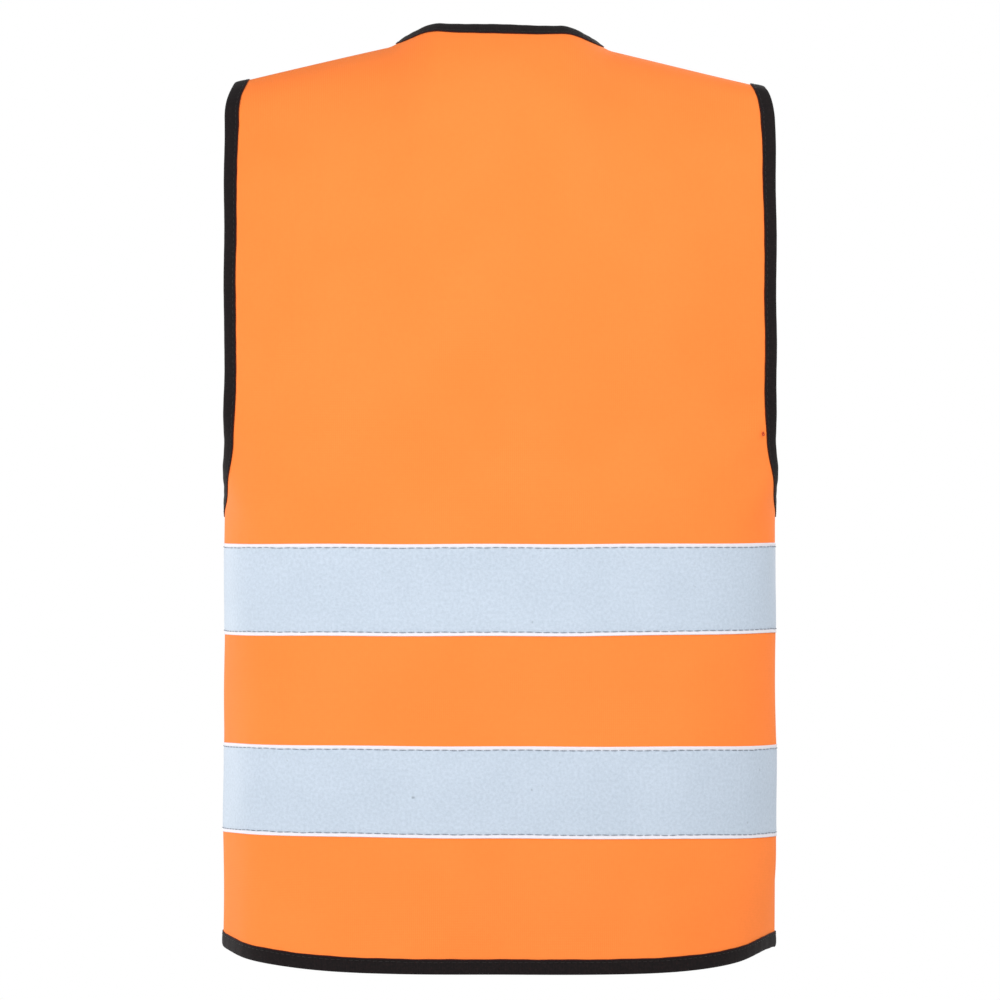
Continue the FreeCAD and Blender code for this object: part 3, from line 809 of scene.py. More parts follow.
class VestClosure(bpy.types.PropertyGroup):
    """Hook and loop patches down the front."""

    hook_colour: colour_setting("Hook colour", "Black nylon of the hook tape", "#141315")
    loop_colour: colour_setting("Loop colour", "Black nylon of the loop tape", "#18161A")
    corner: length_setting("Corner", "Radius of the patches' corners", 2.0)


class VestLabels(bpy.types.PropertyGroup):
    """Blank labels sewn inside the neck and the side seam."""

    colour: colour_setting("Colour", "White satin", "#EDECE8")
    thickness: length_setting("Thickness", "Thickness of the label tape", 0.35)


class VestStudio(bpy.types.PropertyGroup):
    """Camera, lights and floor."""

    distance: length_setting("Camera distance", "Distance from the camera to the vest", 6000.0)
    level: length_setting("Camera level", "Height of the camera", -247.6)
    lens: FloatProperty(name="Lens", description="Focal length in millimetres", default=392.0, min=1.0)
    floor_level: length_setting("Floor level", "Height of the floor", -900.0)
    surround: FloatProperty(
        name="Surround", description="Light of the white surround on the vest", default=0.52, min=0.0
    )
    key: power_setting("Key", "Power of the light behind the back", 4.4)
    left_key: power_setting("Left key", "Power of the light on the left", 8.2)
    right_key: power_setting("Right key", "Power of the light on the right", 7.1)
    front_key: power_setting("Front key", "Power of the light before the right front", 10.5)
    front_fill: power_setting("Front fill", "Power of the light before the left front", 8.0)


# ---------------------------------------------------------------- panels of cloth


def top_of_back(share):
    """Upper edge of the back panel: right shoulder seam, neckline and left shoulder seam."""
    seam = (SHOULDER_END - NECK_HALF_WIDTH) / (2.0 * SHOULDER_END)
    neck = back_neckline()[::-1]
    turn = np.clip((share - seam) / (1.0 - 2.0 * seam), 0.0, 1.0)
    places = np.linspace(0.0, 1.0, len(neck))
    straight = (2.0 * share - 1.0) * SHOULDER_END
    inside = (turn > 0.0) & (turn < 1.0)
    along = np.where(inside, np.interp(turn, places, neck[:, 0]), straight)
    height = np.where(inside, np.interp(turn, places, neck[:, 1]), SHOULDER)
    return along, height


def row_shares(length, spacing, fine=0.0):
    """Even shares from 0 to 1, with a few closer rows at the start if fine is given."""
    even = np.linspace(0.0, 1.0, max(2, round(length / spacing)) + 1)
    if not fine:
        return even
    close = fine / length * (1.0 - np.cos(np.linspace(0.0, math.pi / 2, 9)))
    return np.concatenate([close, even[even > close[-1] * 1.02]])


def back_pattern(spacing):
    """Grid of pattern points of the back panel.

    Its rows are level up to the armpits; above them they end on the armholes and bend little by
    little into the shoulder seams and the neckline.
    """
    share = np.linspace(0.0, 1.0, 2 * round(SIDE / spacing) + 1)
    lower = row_shares(ARMPIT_LEVEL - HEM_LEVEL, spacing)[:-1, None]
    along = np.broadcast_to((2.0 * share - 1.0) * SIDE, (len(lower), len(share)))
    height = hem_height(along) * (1.0 - lower) + ARMPIT_LEVEL * lower
    armhole = evenly(BACK, armhole_line(ARMHOLE_BACK), spacing)
    reach, level = armhole[:, :1], armhole[:, 1:]
    rise = (level - ARMPIT_LEVEL) / (SHOULDER - ARMPIT_LEVEL)
    top_along, top_height = top_of_back(share)
    across = 2.0 * share - 1.0
    upper_along = across * reach + rise**2 * (top_along - across * SHOULDER_END)
    upper_height = level - rise * (SHOULDER - top_height)
    return np.concatenate([along, upper_along]), np.concatenate([height, upper_height])


def front_pattern(spacing):
    """Grid of pattern points of a front panel for the wearer's left.

    Its rows run from the front edge to the side seam or the armhole, the lowest on the curved hem.
    """
    corner = HEM_CORNER - FRONT_OVERLAP
    foot = float(hem_height(corner))
    share = np.linspace(0.0, 1.0, round((SIDE + FRONT_OVERLAP) / spacing) + 1)
    lower = row_shares(ARMPIT_LEVEL - foot, spacing, fine=HEM_CORNER)[:-1, None]
    edge = front_edge_line()
    start_height = foot + (ARMPIT_LEVEL - foot) * lower
    start_along = np.interp(start_height, edge[:, 1], edge[:, 0])
    along = start_along + (SIDE - start_along) * share
    end_height = HEM_LEVEL + HEM_RISE + (ARMPIT_LEVEL - HEM_LEVEL - HEM_RISE) * lower
    level = start_height + (end_height - start_height) * share
    first = corner + (SIDE - corner) * share
    sag = hem_height(first) - (foot + (HEM_LEVEL + HEM_RISE - foot) * share)
    height = level + sag * (1.0 - lower)
    armhole = evenly(LEFT_FRONT, armhole_line(ARMHOLE_FRONT), spacing)
    reach, upper = armhole[:, :1], armhole[:, 1:]
    inner = np.interp(upper, edge[:, 1], edge[:, 0])
    upper_along = inner + (reach - inner) * share
    return (
        np.concatenate([along, upper_along]),
        np.concatenate([height, np.broadcast_to(upper, upper_along.shape)]),
    )


SEAM_DRAW = 0.45 * MM       # how deep a seam draws the cloth in
SEAM_BELL = 1.4 * MM        # and over what width


def seam_dip(along, height):
    """Cloth drawn in along the side and shoulder seams: e^-(d/w)^2 of the distance d from a seam."""
    near_side = np.exp(-(((SIDE - np.abs(along)) / SEAM_BELL) ** 2))
    near_side = near_side * (height < ARMPIT_LEVEL + 3 * MM)
    near_shoulder = np.exp(-(((SHOULDER - height) / SEAM_BELL) ** 2))
    return -SEAM_DRAW * np.maximum(near_side, near_shoulder)


def both_skins(along, height):
    """Pattern coordinates of a shell, whose two skins share them."""
    pattern = np.stack([along, height], axis=-1).reshape(-1, 2)
    return np.concatenate([pattern, pattern])


def cloth_shell(drape, along, height, low, high):
    """Closed sheet between two lifts off the form, with its pattern coordinates."""
    outer = cloth_point(drape, along, height, high)
    inner = cloth_point(drape, along, height, low)
    points, quads = sheet_shell(outer, inner)
    return points, quads, both_skins(along, height)


SIDES = (("left", 1.0, LEFT_FRONT), ("right", -1.0, RIGHT_FRONT))


def ride_front(piece):
    """Keep a front's piece where it was made, its placing baked into its mesh."""
    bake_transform(piece)


def blend_over_seam(piece):
    """Keep a piece across a side seam where it was made, its placing baked into its mesh."""
    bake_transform(piece)


CLOTH_START = 0.2 * MM      # from the form to the cloth's inner skin


def sew_panel(name, drape, along, height, width):
    """Panel of cloth from its inner skin, just off the form, to its outer one."""
    thickness = bpy.context.scene.vest_cloth.thickness
    dip = seam_dip(along, height)
    lifts = CLOTH_START + dip, CLOTH_START + thickness + dip
    points, quads, pattern = cloth_shell(drape, along, height, *lifts)
    material = material_for("fluorescent_polyester_knit")
    panel = make_piece(f"{name}_cloth", points, quads, material, pattern)
    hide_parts(f"{name}_panel")
    return panel


class VEST_OT_panels(bpy.types.Operator):
    """Make the back and the two fronts, draped over the form with their soft folds"""

    bl_idname = "vest.panels"
    bl_label = "Cloth panels"

    def execute(self, context):
        spacing = context.scene.vest_cloth.spacing
        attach(sew_panel("back", BACK, *back_pattern(spacing), 2.0 * SIDE), "back")
        for name, side, drape in SIDES:
            along, height = front_pattern(spacing)
            front = sew_panel(f"{name}_front", drape, side * along, height, SIDE + FRONT_OVERLAP)
            ride_front(front)
        return {"FINISHED"}


# ---------------------------------------------------------------- reflective bands


CLOTH_ROLL = 7.0            # metres of tape between the two bands for each metre of height
BAND_START = 0.70 * MM      # from the form to the tape's inner face
BAND_LEVELS = (("upper", UPPER_LOW.z, UPPER_HIGH.z), ("lower", LOWER_LOW.z, LOWER_HIGH.z))


def band_edges(low, high, along):
    """Lower and upper edge of a band: level, but for a millimetre's creep where it was sewn down."""
    upper = low > LOWER_HIGH.z
    creep = ramp(-along, 0.03, 0.17) if upper else 0.8 * ramp(along, 0.02, 0.19)
    wave = 0.12 * MM * np.sin(along * 71.0 + (1.0 if upper else 2.3))
    return low + 1.2 * MM * creep + wave, high + 0.35 * MM * creep + wave


def band_grid(start, end, low, high):
    """Pattern points of a band, with closer rows at its margins and stitched lines."""
    share = np.array([0.0, 0.5, 1.4, 2.3, 3.2, 4.4, 6.5, 10.0, 14.0, 18.0, 22.0, 25.0]) / 50.0
    share = np.concatenate([share, 1.0 - share[-2::-1]])
    columns = np.linspace(start, end, round(abs(end - start) / (2.7 * MM)) + 1)
    along, share = np.meshgrid(columns, share)
    bottom, top = band_edges(low, high, along)
    return along, bottom + (top - bottom) * share, share * (high - low)


def band_lift(across, tall, inset):
    """Relief of a sewn band: pressed down along its stitches, its margins standing up a little."""
    from_edge = tall / 2.0 - np.abs(across - tall / 2.0)
    press = np.exp(-(((from_edge - inset) / (0.9 * MM)) ** 2))
    margin = ramp(from_edge, inset, 0.0)
    return (0.98 - 0.16 * press + 0.12 * margin) * MM


def band_places(front_gap, side_gap):
    """Body, drape, start and end of the bands on each panel, less a gap at front edges and sides."""
    places = [("back", BACK, side_gap - SIDE, SIDE - side_gap)]
    for name, side, drape in SIDES:
        start = side * (front_gap - FRONT_OVERLAP)
        places.append((f"{name}_front", drape, start, side * (SIDE - side_gap)))
    return places


class VEST_OT_bands(bpy.types.Operator):
    """Make the reflective bands that run round the chest and the waist"""

    bl_idname = "vest.bands"
    bl_label = "Reflective bands"

    def execute(self, context):
        material = material_for("glass_bead_reflective_fabric")
        inset = context.scene.vest_bands.stitch_inset
        for body, drape, start, end in band_places(1.5 * MM, 0.0):
            for level, low, high in BAND_LEVELS:
                along, height, across = band_grid(start, end, low, high)
                dip = seam_dip(along, height)
                lift = band_lift(across, high - low, inset) + dip
                points, quads, _ = cloth_shell(drape, along, height, BAND_START + dip, lift)
                pattern = both_skins(along + CLOTH_ROLL * low, across)
                band = make_piece(f"{body}_{level}_band_tape", points, quads, material, pattern)
                node = f"{level}_band_back" if body == "back" else f"{body}_{level}_band"
                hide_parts(node)
                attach(band, body)
        return {"FINISHED"}


# ---------------------------------------------------------------- bindings


# Outline of the folded tape: (distance in from the edge, lift), in millimetres, over the edge from the
# leaf outside to the leaf inside, and the same way again between the leaves and the cloth.
BINDING_OUTSIDE = (
    (7.0, 0.92), (6.8, 1.16), (5.9, 1.20), (5.3, 1.10), (4.6, 1.22), (3.2, 1.32), (1.6, 1.32),
    (0.5, 1.22), (-0.2, 0.98), (-0.62, 0.62), (-0.62, 0.22), (-0.3, -0.14), (0.4, -0.40),
    (1.6, -0.52), (3.2, -0.52), (4.6, -0.42), (5.3, -0.30), (5.9, -0.40), (6.8, -0.36), (7.0, -0.12),
)
BINDING_INSIDE = (
    (6.9, 0.76), (6.5, 0.72), (5.9, 0.70), (5.3, 0.69), (4.6, 0.70), (3.2, 0.72), (1.6, 0.72),
    (0.9, 0.70), (0.3, 0.62), (-0.05, 0.50), (-0.05, 0.34), (0.2, 0.22), (0.6, 0.16),
    (1.6, 0.10), (3.2, 0.10), (4.6, 0.12), (5.3, 0.13), (5.9, 0.12), (6.5, 0.10), (6.9, 0.06),
)
DRAWN_LEAF = 7.0 * MM       # leaf width of that outline, scaled to the one that is set


def over_bands(height):
    """How far the outer leaf is raised where it covers the end of a band."""
    near = 2.0 * MM
    raised = [
        ramp(height, low - near, low) * ramp(height, high + near, high) for _, low, high in BAND_LEVELS
    ]
    return 0.32 * MM * sum(raised)


def tack_rings(drape, line, width):
    """The folded outline a little larger, every half millimetre along the first 3 mm of an edge."""
    line = evenly(drape, line, 0.5 * MM)[:7]
    steps = inward_steps(drape, line)
    outline = np.array(BINDING_OUTSIDE + BINDING_INSIDE[::-1]) * (1.03, 1.10) * MM
    inward = outline[:, 0] * np.where(outline[:, 0] > 0, width / DRAWN_LEAF, 1.4)
    along, height = points_inside(line, steps, inward)
    return cloth_point(drape, along, height, outline[:, 1] - 0.02 * MM)


def binding_shell(drape, line, width):
    """The folded outline carried along an edge, keeping to the surface, with a little wander."""
    line = evenly(drape, line, 2.2 * MM)
    lengths = lengths_along(drape, line)
    steps = inward_steps(drape, line)
    outline = np.array(BINDING_OUTSIDE + BINDING_INSIDE[::-1]) * MM
    inward = outline[:, 0] * np.where(outline[:, 0] > 0, width / DRAWN_LEAF, 1.0)
    wander = np.sin(lengths * 190.0 + 1.3) + 0.6 * np.sin(lengths * 470.0)
    inward = inward + 0.09 * MM * wander[:, None] * np.clip(outline[:, 0] / DRAWN_LEAF, 0.0, 1.0)
    along, height = points_inside(line, steps, inward)
    lift = outline[:, 1] + np.where(outline[:, 1] > 0.45 * MM, over_bands(height), 0.0)
    swell = 0.10 * MM * np.sin(lengths * 640.0)[:, None] * (outline[:, 1] - 0.4 * MM) / MM
    rings = cloth_point(drape, along, height, lift + swell)
    points, quads = swept_tube(rings)
    across = np.broadcast_to(inward, along.shape)
    pattern = np.stack([np.broadcast_to(lengths[:, None], along.shape), across], axis=-1)
    return points, quads, pattern.reshape(-1, 2), float(lengths[-1])


def binding_places():
    """Every binding: name, drape, line of the edge, replaced node and body."""
    places = [
        ("back_neck", BACK, back_neckline(), "back_neck_binding", "back"),
        ("back_hem", BACK, hem_line(-SIDE, SIDE, 180), "back_hem_binding", "back"),
    ]
    for name, side, drape in SIDES:
        back = for_side(armhole_line(ARMHOLE_BACK), side)
        front = for_side(armhole_line(ARMHOLE_FRONT), side)
        edge = for_side(front_binding_line(), side)
        body = f"{name}_front"
        places += [
            (f"{name}_armhole_back", BACK, back, f"{name}_armhole_binding_back", "back"),
            (f"{name}_armhole_front", drape, front, f"{name}_armhole_binding_front", body),
            (f"{name}_front_edge", drape, edge, f"{name}_front_binding", body),
        ]
    return places


class VEST_OT_bindings(bpy.types.Operator):
    """Fold black tape over the neck, the armholes, the front edges and the hem"""

    bl_idname = "vest.bindings"
    bl_label = "Bindings"

    def execute(self, context):
        width = context.scene.vest_binding.width
        material = material_for("black_polyester_binding")
        for name, drape, line, node, body in binding_places():
            points, quads, pattern, length = binding_shell(drape, line, width)
            tape = make_piece(f"{name}_tape", points, quads, material, pattern)
            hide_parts(node)
            if body == "back":
                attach(tape, "back")
            else:
                ride_front(tape)
        thread = material_for("binding_thread")
        for name, side, drape in SIDES:
            hem = hem_line(side * SIDE, 0.0, 180)
            armhole_ahead = for_side(armhole_line(ARMHOLE_FRONT), side)
            armhole_behind = for_side(armhole_line(ARMHOLE_BACK), side)
            lines = (("hem", hem, hem), ("armpit", armhole_ahead, armhole_behind))
            for place, line_ahead, line_behind in lines:
                ahead = tack_rings(drape, line_ahead, width)[::-1]
                behind = tack_rings(BACK, line_behind, width)
                points, quads = swept_tube(np.concatenate([ahead, behind[1:]]))
                tack = make_piece(f"{name}_{place}_bar_tack", points, quads, thread)
                blend_over_seam(tack)
        return {"FINISHED"}


# ---------------------------------------------------------------- stitches


def stitch_threads(drape, line, pitch, length, inward, lift, radius, wander=0.12 * MM):
    """Rings of one short thread for each stitch along a line.

    inward and lift give, station by station along a stitch, how far it lies in from the line and how
    far it stands off the form.
    """
    line = evenly(drape, line, 1.0 * MM)
    lengths = lengths_along(drape, line)
    steps = inward_steps(drape, line)
    middle = np.arange(0.5 * pitch, lengths[-1], pitch)[:, None]
    where = middle + np.linspace(-0.5, 0.5, len(inward)) * length
    drift = 0.5 * np.sin(where * 97.0) + np.sin(where * 410.0) * np.sin(middle * 31.0 + 1.0)
    drift = drift + 0.7 * np.sin(middle * 1490.0)
    inward = np.asarray(inward) + wander * drift
    along, height = (
        np.interp(where, lengths, line[:, k]) + np.interp(where, lengths, steps[:, k]) * inward
        for k in (0, 1)
    )
    lift = np.asarray(lift) + np.where(np.asarray(lift) > 1.1 * MM, over_bands(height), 0.0)
    centres = cloth_point(drape, along, height, lift)
    thickness = radius * np.array([0.6] + [1.0] * (centres.shape[1] - 2) + [0.6])
    return thread_rings(centres, normals(drape, along, height), thickness)


def stitched_row(drape, line, lifts, pitch, length, inset, radius, wander=0.12 * MM):
    """Threads of a row of stitches, for each (lift at the ends, lift between) in millimetres."""
    return [
        stitch_threads(
            drape,
            line,
            pitch,
            length,
            np.full(4, inset),
            np.array([ends, between, between, ends]) * MM,
            radius,
            wander,
        )
        for ends, between in lifts
    ]


def add_threads(name, bundles, material, body, blended=False):
    """One piece from several bundles of threads with the same number of stations."""
    points, quads = swept_tube(np.concatenate(bundles))
    piece = make_piece(name, points, quads, material)
    if blended:
        ride_front(piece)
    else:
        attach(piece, body)
    return piece


class VEST_OT_stitches(bpy.types.Operator):
    """Sew the bands and the bindings down with rows of single stitches"""

    bl_idname = "vest.stitches"
    bl_label = "Stitches"

    def execute(self, context):
        settings = context.scene.vest_stitches
        inset = context.scene.vest_bands.stitch_inset
        pitch = settings.band_pitch
        thread = material_for("band_thread")
        width = context.scene.vest_binding.width
        for body, drape, start, end in band_places(width + MM, MM):
            rows = []
            for _, low, high in BAND_LEVELS:
                for upper in (False, True):
                    along = np.linspace(start, end, 240)
                    bottom, top = band_edges(low, high, along)
                    line = np.stack([along, top - inset if upper else bottom + inset], axis=-1)
                    lifts = (0.80, 1.06), (0.25, 0.08)
                    rows += stitched_row(
                        drape, line, lifts, pitch, 0.84 * pitch, 0.0, settings.radius, 0.14 * MM
                    )
            add_threads(f"{body}_band_stitches", rows, thread, body)
        thread = material_for("binding_thread")
        inset = width - 1.7 * MM
        pitch = settings.binding_pitch
        for name, drape, line, _, body in binding_places():
            lifts = (0.98, 1.22), (-0.16, -0.40)
            rows = stitched_row(drape, line, lifts, pitch, 0.75 * pitch, inset, settings.radius * 0.9)
            blended = body != "back"
            add_threads(f"{name}_stitches", rows, thread, body, blended)
        # the loose end: a curl of thread that stands up off the cloth beside the right armhole
        share = np.linspace(0.0, 1.0, 28)
        turn = share * 6.9 + 2.4
        along = -(ARMHOLE_BACK - (8.7 + 1.1 * np.cos(turn)) * MM)
        height = -0.2115 + (0.9 * np.sin(turn) + 0.5 * share) * MM
        lift = (0.9 + 1.1 * np.sin(share * math.pi)) * MM
        centres = cloth_point(BACK, along[None], height[None], lift[None])
        upright = normals(BACK, along[None], height[None])
        end = thread_rings(centres, upright, 1.3 * settings.radius * (1.0 - 0.4 * share))
        add_threads("loose_thread_end", [end], material_for("loose_thread"), "back")
        return {"FINISHED"}


# ---------------------------------------------------------------- seams inside


def seam_places():
    """Pattern lines of the shoulder and side seams, drawn up the cloth or out along the shoulder."""
    low = HEM_LEVEL + HEM_RISE + 6.5 * MM
    places = []
    for name, side, _ in SIDES:
        height = np.linspace(low, ARMPIT_LEVEL - 6.5 * MM, 120)
        along = np.full_like(height, side * SIDE)
        places.append((f"{name}_side", np.stack([along, height], axis=-1)))
        along = side * np.linspace(NECK_HALF_WIDTH + 6.5 * MM, SHOULDER_END - 6.5 * MM, 60)
        places.append((f"{name}_shoulder", np.stack([along, np.full_like(along, SHOULDER)], axis=-1)))
    return places


SEAM_SPACING = 2.5 * MM
ALLOWANCE_LIFTS = (0.0, -0.62 * MM)


def allowance_over_seam(line, skins, along, height, side, drape):
    """The skins and pattern of a side seam's allowance, carried 4 mm past the seam onto the front."""
    past = np.array([4.0, 2.5, 1.7, 1.2, 0.8, 0.4, 0.0]) * MM
    up = np.broadcast_to(line[:, 1:], (len(line), len(past)))
    ahead = np.broadcast_to(side * (SIDE - past), up.shape)
    front = [cloth_point(drape, ahead, up, lift) for lift in ALLOWANCE_LIFTS]
    skins = [np.concatenate(pair, axis=1) for pair in zip(front, skins)]
    along = np.concatenate([2.0 * side * SIDE - ahead, along], axis=1)
    return skins, along, np.concatenate([up, height], axis=1)


class VEST_OT_seams(bpy.types.Operator):
    """Turn the seam allowances to the inside of the back and bind them with overlock stitches"""

    bl_idname = "vest.seams"
    bl_label = "Seams"

    def execute(self, context):
        cloth = material_for("fluorescent_polyester_knit")
        thread = material_for("orange_thread")
        radius = context.scene.vest_stitches.radius * 0.8
        sides = {f"{name}_side": (name, side, drape) for name, side, drape in SIDES}
        for name, line in seam_places():
            line = evenly(BACK, line, SEAM_SPACING)
            steps = inward_steps(BACK, line)
            inward = np.array([0.3, 0.8, 1.2, 1.7, 2.5, 5.0, 7.5, 10.5]) * MM
            along, height = points_inside(line, steps, inward)
            wave = 0.12 * MM * np.sin(np.arange(len(line)) * 1.1)[:, None] * inward / (10.0 * MM)
            skins = [cloth_point(BACK, along, height, lift + wave) for lift in ALLOWANCE_LIFTS]
            if name in sides:
                front, side, drape = sides[name]
                skins, along, height = allowance_over_seam(line, skins, along, height, side, drape)
            points, quads = sheet_shell(*skins)
            pattern = both_skins(along, height)
            flap = make_piece(f"{name}_seam_allowance", points, quads, cloth, pattern)
            if name in sides:
                blend_over_seam(flap)
            else:
                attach(flap, "back")
            slant = np.array([10.8, 10.8, 8.4, 6.0, 6.0]) * MM
            lift = np.array([-0.3, -0.80, -0.86, -0.80, -0.5]) * MM
            there = stitch_threads(BACK, line, 2.6 * MM, 1.6 * MM, slant, lift, radius)
            again = stitch_threads(BACK, line, 2.6 * MM, 1.6 * MM, slant[::-1], lift[::-1], radius)
            add_threads(f"{name}_overlock", [there, again], thread, "back")
        return {"FINISHED"}


# ---------------------------------------------------------------- closure


def patch_grid(low, high, corner):
    """Rounded rectangle as rows that narrow towards the two ends, following quarter circles."""
    tall = high.z - low.z
    turn = corner * (1.0 - np.cos(np.linspace(0.0, math.pi / 2, 7)))
    height = np.concatenate([turn, np.linspace(corner, tall - corner, 24)[1:-1], tall - turn[::-1]])
    near = np.minimum(height, tall - height)
    cut = corner - np.sqrt(np.clip(corner**2 - np.clip(corner - near, 0.0, None) ** 2, 0.0, None))
    share = np.linspace(-1.0, 1.0, 15)
    half = (high.x - low.x) / 2.0 - cut
    along = (low.x + high.x) / 2.0 + half[:, None] * share
    return along, np.broadcast_to(low.z + height[:, None], along.shape)


def edge_crown(along, low, high):
    """Share of the full thickness, falling off over the last millimetre at the sides."""
    near = np.minimum(along - low.x, high.x - along)
    return 0.6 + 0.4 * ramp(near, 0.0, 1.2 * MM)


def sew_patch(kind, place, drape, body, box, near, far):
    """Tape of a patch between two lifts in millimetres, its far face crowned by 0.62 mm."""
    low, high = box
    along, height = patch_grid(low, high, bpy.context.scene.vest_closure.corner)
    face = (far + math.copysign(0.62, far) * edge_crown(along, low, high)) * MM
    lifts = (face, near * MM) if far < 0.0 else (near * MM, face)
    points, quads, pattern = cloth_shell(drape, along, height, *lifts)
    material = material_for(f"nylon_{kind}_tape")
    patch = make_piece(f"{kind}_tape_{place}", points, quads, material, pattern)
    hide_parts(f"{kind}_patch_{place}")
    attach(patch, body)


PATCH_MARGIN = 2.4 * MM     # bare rim of a patch round its hooks or loops
HOOK_COLUMNS = 11
HOOK_ROWS = 29
LOOP_COUNT = 520
BOX_INSET = 1.6 * MM


def grow_hooks(place, low, high):
    """Rows of small hooks that lean to the left and to the right by turns."""
    columns, rows = np.meshgrid(
        np.linspace(low.x + PATCH_MARGIN, high.x - PATCH_MARGIN, HOOK_COLUMNS),
        np.linspace(low.z + PATCH_MARGIN, high.z - PATCH_MARGIN, HOOK_ROWS),
    )
    lean = np.array([0.0, 0.0, 0.06, 0.24, 0.42]) * MM
    lift = np.array([-0.60, -0.92, -1.14, -1.22, -1.08]) * MM
    turn = np.where(np.arange(columns.size) % 2, 1, -1)[:, None]
    along = columns.reshape(-1, 1) + lean * turn
    centres = cloth_point(LEFT_FRONT, along, rows.reshape(-1, 1), lift)
    upright = np.broadcast_to((0.0, 0.0, 1.0), centres.shape)
    hooks = thread_rings(centres, upright, np.full(5, 0.11 * MM))
    add_threads(f"hooks_{place}", [hooks], material_for("nylon_hook_tape"), "left_front")


def grow_loops(place, low, high, random):
    """Small arches of thread scattered over the patch, each heading its own way."""
    start = random.uniform(
        (low.x + PATCH_MARGIN, low.z + PATCH_MARGIN),
        (high.x - PATCH_MARGIN, high.z - PATCH_MARGIN),
        size=(LOOP_COUNT, 2),
    )
    heading = random.uniform(0.0, 2.0 * math.pi, size=(LOOP_COUNT, 1))
    reach = np.array([-1.0, -0.7, 0.0, 0.7, 1.0]) * 0.8 * MM
    tall = random.uniform(0.35, 0.6, size=(LOOP_COUNT, 1))
    bulge = np.array([0.0, 0.75, 1.0, 0.75, 0.0]) * tall * MM
    along = start[:, :1] + np.cos(heading) * reach
    height = start[:, 1:] + np.sin(heading) * reach
    centres = cloth_point(RIGHT_FRONT, along, height, 1.34 * MM + bulge)
    outward = normals(RIGHT_FRONT, along, height)
    loops = thread_rings(centres, outward, np.full(5, 0.08 * MM), around=4)
    add_threads(f"loops_{place}", [loops], material_for("nylon_loop_tape"), "right_front")


def sew_box(place, drape, body, box, lifts):
    """Box of stitches that holds a patch, just inside its edges."""
    low, high = box
    left, right = low.x + BOX_INSET, high.x - BOX_INSET
    bottom, top = low.z + BOX_INSET, high.z - BOX_INSET
    corners = [(left, bottom), (right, bottom), (right, top), (left, top), (left, bottom)]
    outline = np.array(corners)
    radius = bpy.context.scene.vest_stitches.radius
    rows = stitched_row(drape, outline, lifts, 2.6 * MM, 2.0 * MM, 0.0, radius, 0.05 * MM)
    thread = material_for("binding_thread")
    add_threads(f"{body}_box_stitches_{place}", rows, thread, body)


class VEST_OT_closure(bpy.types.Operator):
    """Sew three pairs of hook and loop patches inside the left front and outside the right front"""

    bl_idname = "vest.closure"
    bl_label = "Closure"

    def execute(self, context):
        random = np.random.default_rng(11)
        for place in PATCH_PLACES:
            hooks, loops = HOOK_BOXES[place], LOOP_BOXES[place]
            sew_patch("hook", place, LEFT_FRONT, "left_front", hooks, -0.08, -0.1)
            grow_hooks(place, *hooks)
            sew_patch("loop", place, RIGHT_FRONT, "right_front", loops, 0.74, 0.78)
            grow_loops(place, *loops, random)
            sew_box(place, LEFT_FRONT, "left_front", hooks, ((0.55, 0.84), (-0.55, -0.80)))
            sew_box(place, RIGHT_FRONT, "right_front", loops, ((1.30, 1.55), (0.25, 0.0)))
        return {"FINISHED"}


# ---------------------------------------------------------------- labels


def sew_label(name, middle, outward, pattern, flat, edge, free):
    """Label whose faces stand half its thickness off a middle surface; it bends past its sewn edge."""
    half = np.array(outward) * bpy.context.scene.vest_labels.thickness / 2.0
    points, quads = sheet_shell(middle - half, middle + half)
    material = material_for("woven_satin_label")
    label = make_piece(f"{name}_tape", points, quads, material, both_skins(*pattern))
    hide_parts(name)
    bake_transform(label)


class VEST_OT_labels(bpy.types.Operator):
    """Hang a blank satin label inside the back of the neck and another in the left side seam"""

    bl_idname = "vest.labels"
    bl_label = "Labels"

    def execute(self, context):
        # each label curls away from the cloth by its distance from the sewn edge, squared
        low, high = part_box("neck_label")
        across, down = np.meshgrid(np.linspace(-1.0, 1.0, 25), np.linspace(0.0, 1.0, 21))
        x = across * (high.x - low.x) / 2.0
        z = high.z - down * (high.z - low.z)
        y = (low.y + high.y) / 2.0 - 1.6 * MM * down**2 * (1.0 + 0.5 * np.sin(across * 2.2 + 0.6))
        middle = np.stack([x, y, z], axis=-1)
        flat = (high.x - low.x, high.z - low.z)
        ends = (0.0, 0.0, 0.0035), (0.0, 0.0, -0.003)
        sew_label("neck_label", middle, (0.0, 1.0, 0.0), (x, z), flat, *ends)

        low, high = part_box("care_label")
        out, up = np.meshgrid(np.linspace(0.0, 1.0, 21), np.linspace(0.0, 1.0, 33))
        y = low.y + out * (high.y - low.y)
        z = low.z + up * (high.z - low.z)
        x = (low.x + high.x) / 2.0 - 2.2 * MM * out**2 * (1.0 + 0.4 * np.sin(up * 5.0 + 0.4))
        middle = np.stack([x, y, z], axis=-1)
        flat = (high.y - low.y, high.z - low.z)
        ends = (0.0, 0.0005, 0.0), (0.0, 0.005, 0.0)
        sew_label("care_label", middle, (1.0, 0.0, 0.0), (y, z), flat, *ends)
        return {"FINISHED"}


# ---------------------------------------------------------------- studio


FLOOR_REACH = 2.5
LIGHT_TARGET = (0.0, 0.0, -0.22)
LIGHTS = (
    ("key", (0.02, 1.0, 0.08), 0.7),
    ("left_key", (1.2, 0.7, 0.0), 0.9),
    ("right_key", (-0.95, 0.5, 0.45), 0.9),
    ("front_key", (-0.5, -1.5, 0.3), 1.0),
    ("front_fill", (1.2, -1.0, -0.1), 1.0),
)


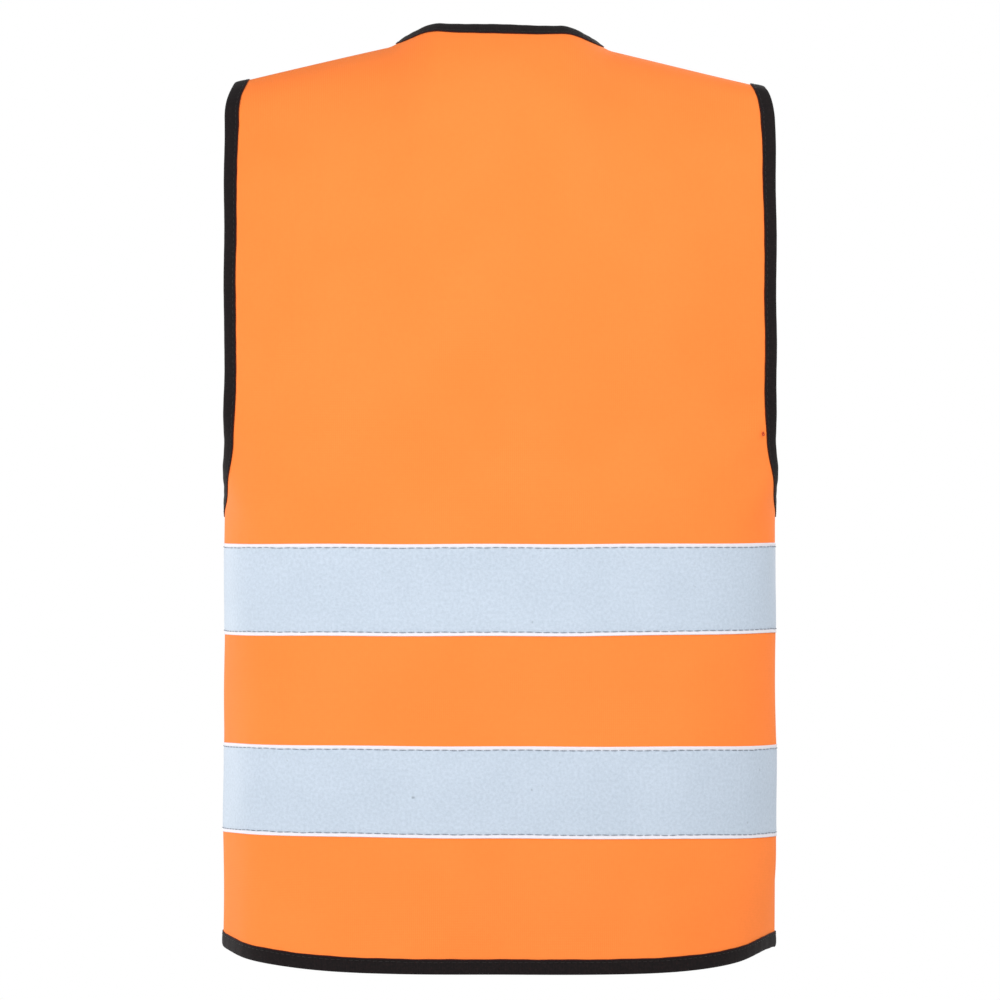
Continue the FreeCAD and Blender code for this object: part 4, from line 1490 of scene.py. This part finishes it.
def add_light(name, place, size, power):
    """Square soft light turned towards the middle of the vest."""
    light = bpy.data.lights.new(name, "AREA")
    light.shape = "SQUARE"
    light.size = size
    light.energy = power
    lamp = bpy.data.objects.new(name, light)
    lamp.location = place
    aim = Vector(LIGHT_TARGET) - Vector(place)
    lamp.rotation_euler = aim.to_track_quat("-Z", "Y").to_euler()
    bpy.context.scene.collection.objects.link(lamp)


class VEST_OT_studio(bpy.types.Operator):
    """Set the pale floor, the soft lights and the camera behind the wearer's back"""

    bl_idname = "vest.studio"
    bl_label = "Studio"

    def execute(self, context):
        scene = context.scene
        studio = scene.vest_studio
        scene.view_settings.view_transform = "Standard"
        reach = np.linspace(-FLOOR_REACH, FLOOR_REACH, 21)
        x, y = np.meshgrid(reach, reach)
        floor = np.stack([x, y, np.full_like(x, studio.floor_level)], axis=-1)
        points, quads = sheet_shell(floor, floor - (0.0, 0.0, 2.0 * MM))
        paper = material_for("white_background_paper")
        make_piece("floor", points, quads, paper, points[:, :2])

        world = bpy.data.worlds.new("white_surround")
        world.use_nodes = True
        scene.world = world
        background = world.node_tree.nodes["Background"]
        background.inputs["Color"].default_value = (1.0, 1.0, 1.0, 1.0)
        seen = add_node(world.node_tree, "ShaderNodeLightPath").outputs["Is Camera Ray"]
        share = combine(world.node_tree, "MULTIPLY_ADD", seen, 1.0 - studio.surround, studio.surround)
        world.node_tree.links.new(share, background.inputs["Strength"])

        for name, place, size in LIGHTS:
            add_light(name, place, size, getattr(studio, name))

        lens = bpy.data.cameras.new("camera")
        lens.lens = studio.lens
        lens.clip_end = 50.0
        camera = bpy.data.objects.new("camera", lens)
        camera.location = (0.0, studio.distance, studio.level)
        camera.rotation_euler = (math.pi / 2, 0.0, math.pi)
        scene.collection.objects.link(camera)
        scene.camera = camera
        return {"FINISHED"}


# ---------------------------------------------------------------- add-on


GROUPS = (
    ("vest_cloth", VestCloth),
    ("vest_bands", VestBands),
    ("vest_binding", VestBinding),
    ("vest_stitches", VestStitches),
    ("vest_closure", VestClosure),
    ("vest_labels", VestLabels),
    ("vest_studio", VestStudio),
)
STEPS = (
    VEST_OT_studio,
    VEST_OT_panels,
    VEST_OT_bands,
    VEST_OT_bindings,
    VEST_OT_stitches,
    VEST_OT_seams,
    VEST_OT_closure,
    VEST_OT_labels,
)


class VEST_PT_sidebar(bpy.types.Panel):
    """Sidebar tab with the vest's settings and the steps that make it"""

    bl_idname = "VEST_PT_sidebar"
    bl_label = "High visibility vest"
    bl_space_type = "VIEW_3D"
    bl_region_type = "UI"
    bl_category = "Vest"

    def draw(self, context):
        for attribute, group in GROUPS:
            settings = getattr(context.scene, attribute)
            box = self.layout.box()
            box.label(text=group.__doc__.rstrip("."))
            for name in group.__annotations__:
                box.prop(settings, name)
        for step in STEPS:
            self.layout.operator(step.bl_idname)


def register():
    """Add the settings, the steps and the sidebar tab to Blender."""
    for attribute, group in GROUPS:
        bpy.utils.register_class(group)
        setattr(bpy.types.Scene, attribute, PointerProperty(type=group))
    for step in STEPS:
        bpy.utils.register_class(step)
    bpy.utils.register_class(VEST_PT_sidebar)


def unregister():
    """Take them away again."""
    bpy.utils.unregister_class(VEST_PT_sidebar)
    for step in reversed(STEPS):
        bpy.utils.unregister_class(step)
    for attribute, group in reversed(GROUPS):
        delattr(bpy.types.Scene, attribute)
        bpy.utils.unregister_class(group)


def main():
    """Make every part of the vest."""
    register()
    for step in STEPS:
        family, name = step.bl_idname.split(".")
        getattr(getattr(bpy.ops, family), name)()


if __name__ == "__main__":
    main()
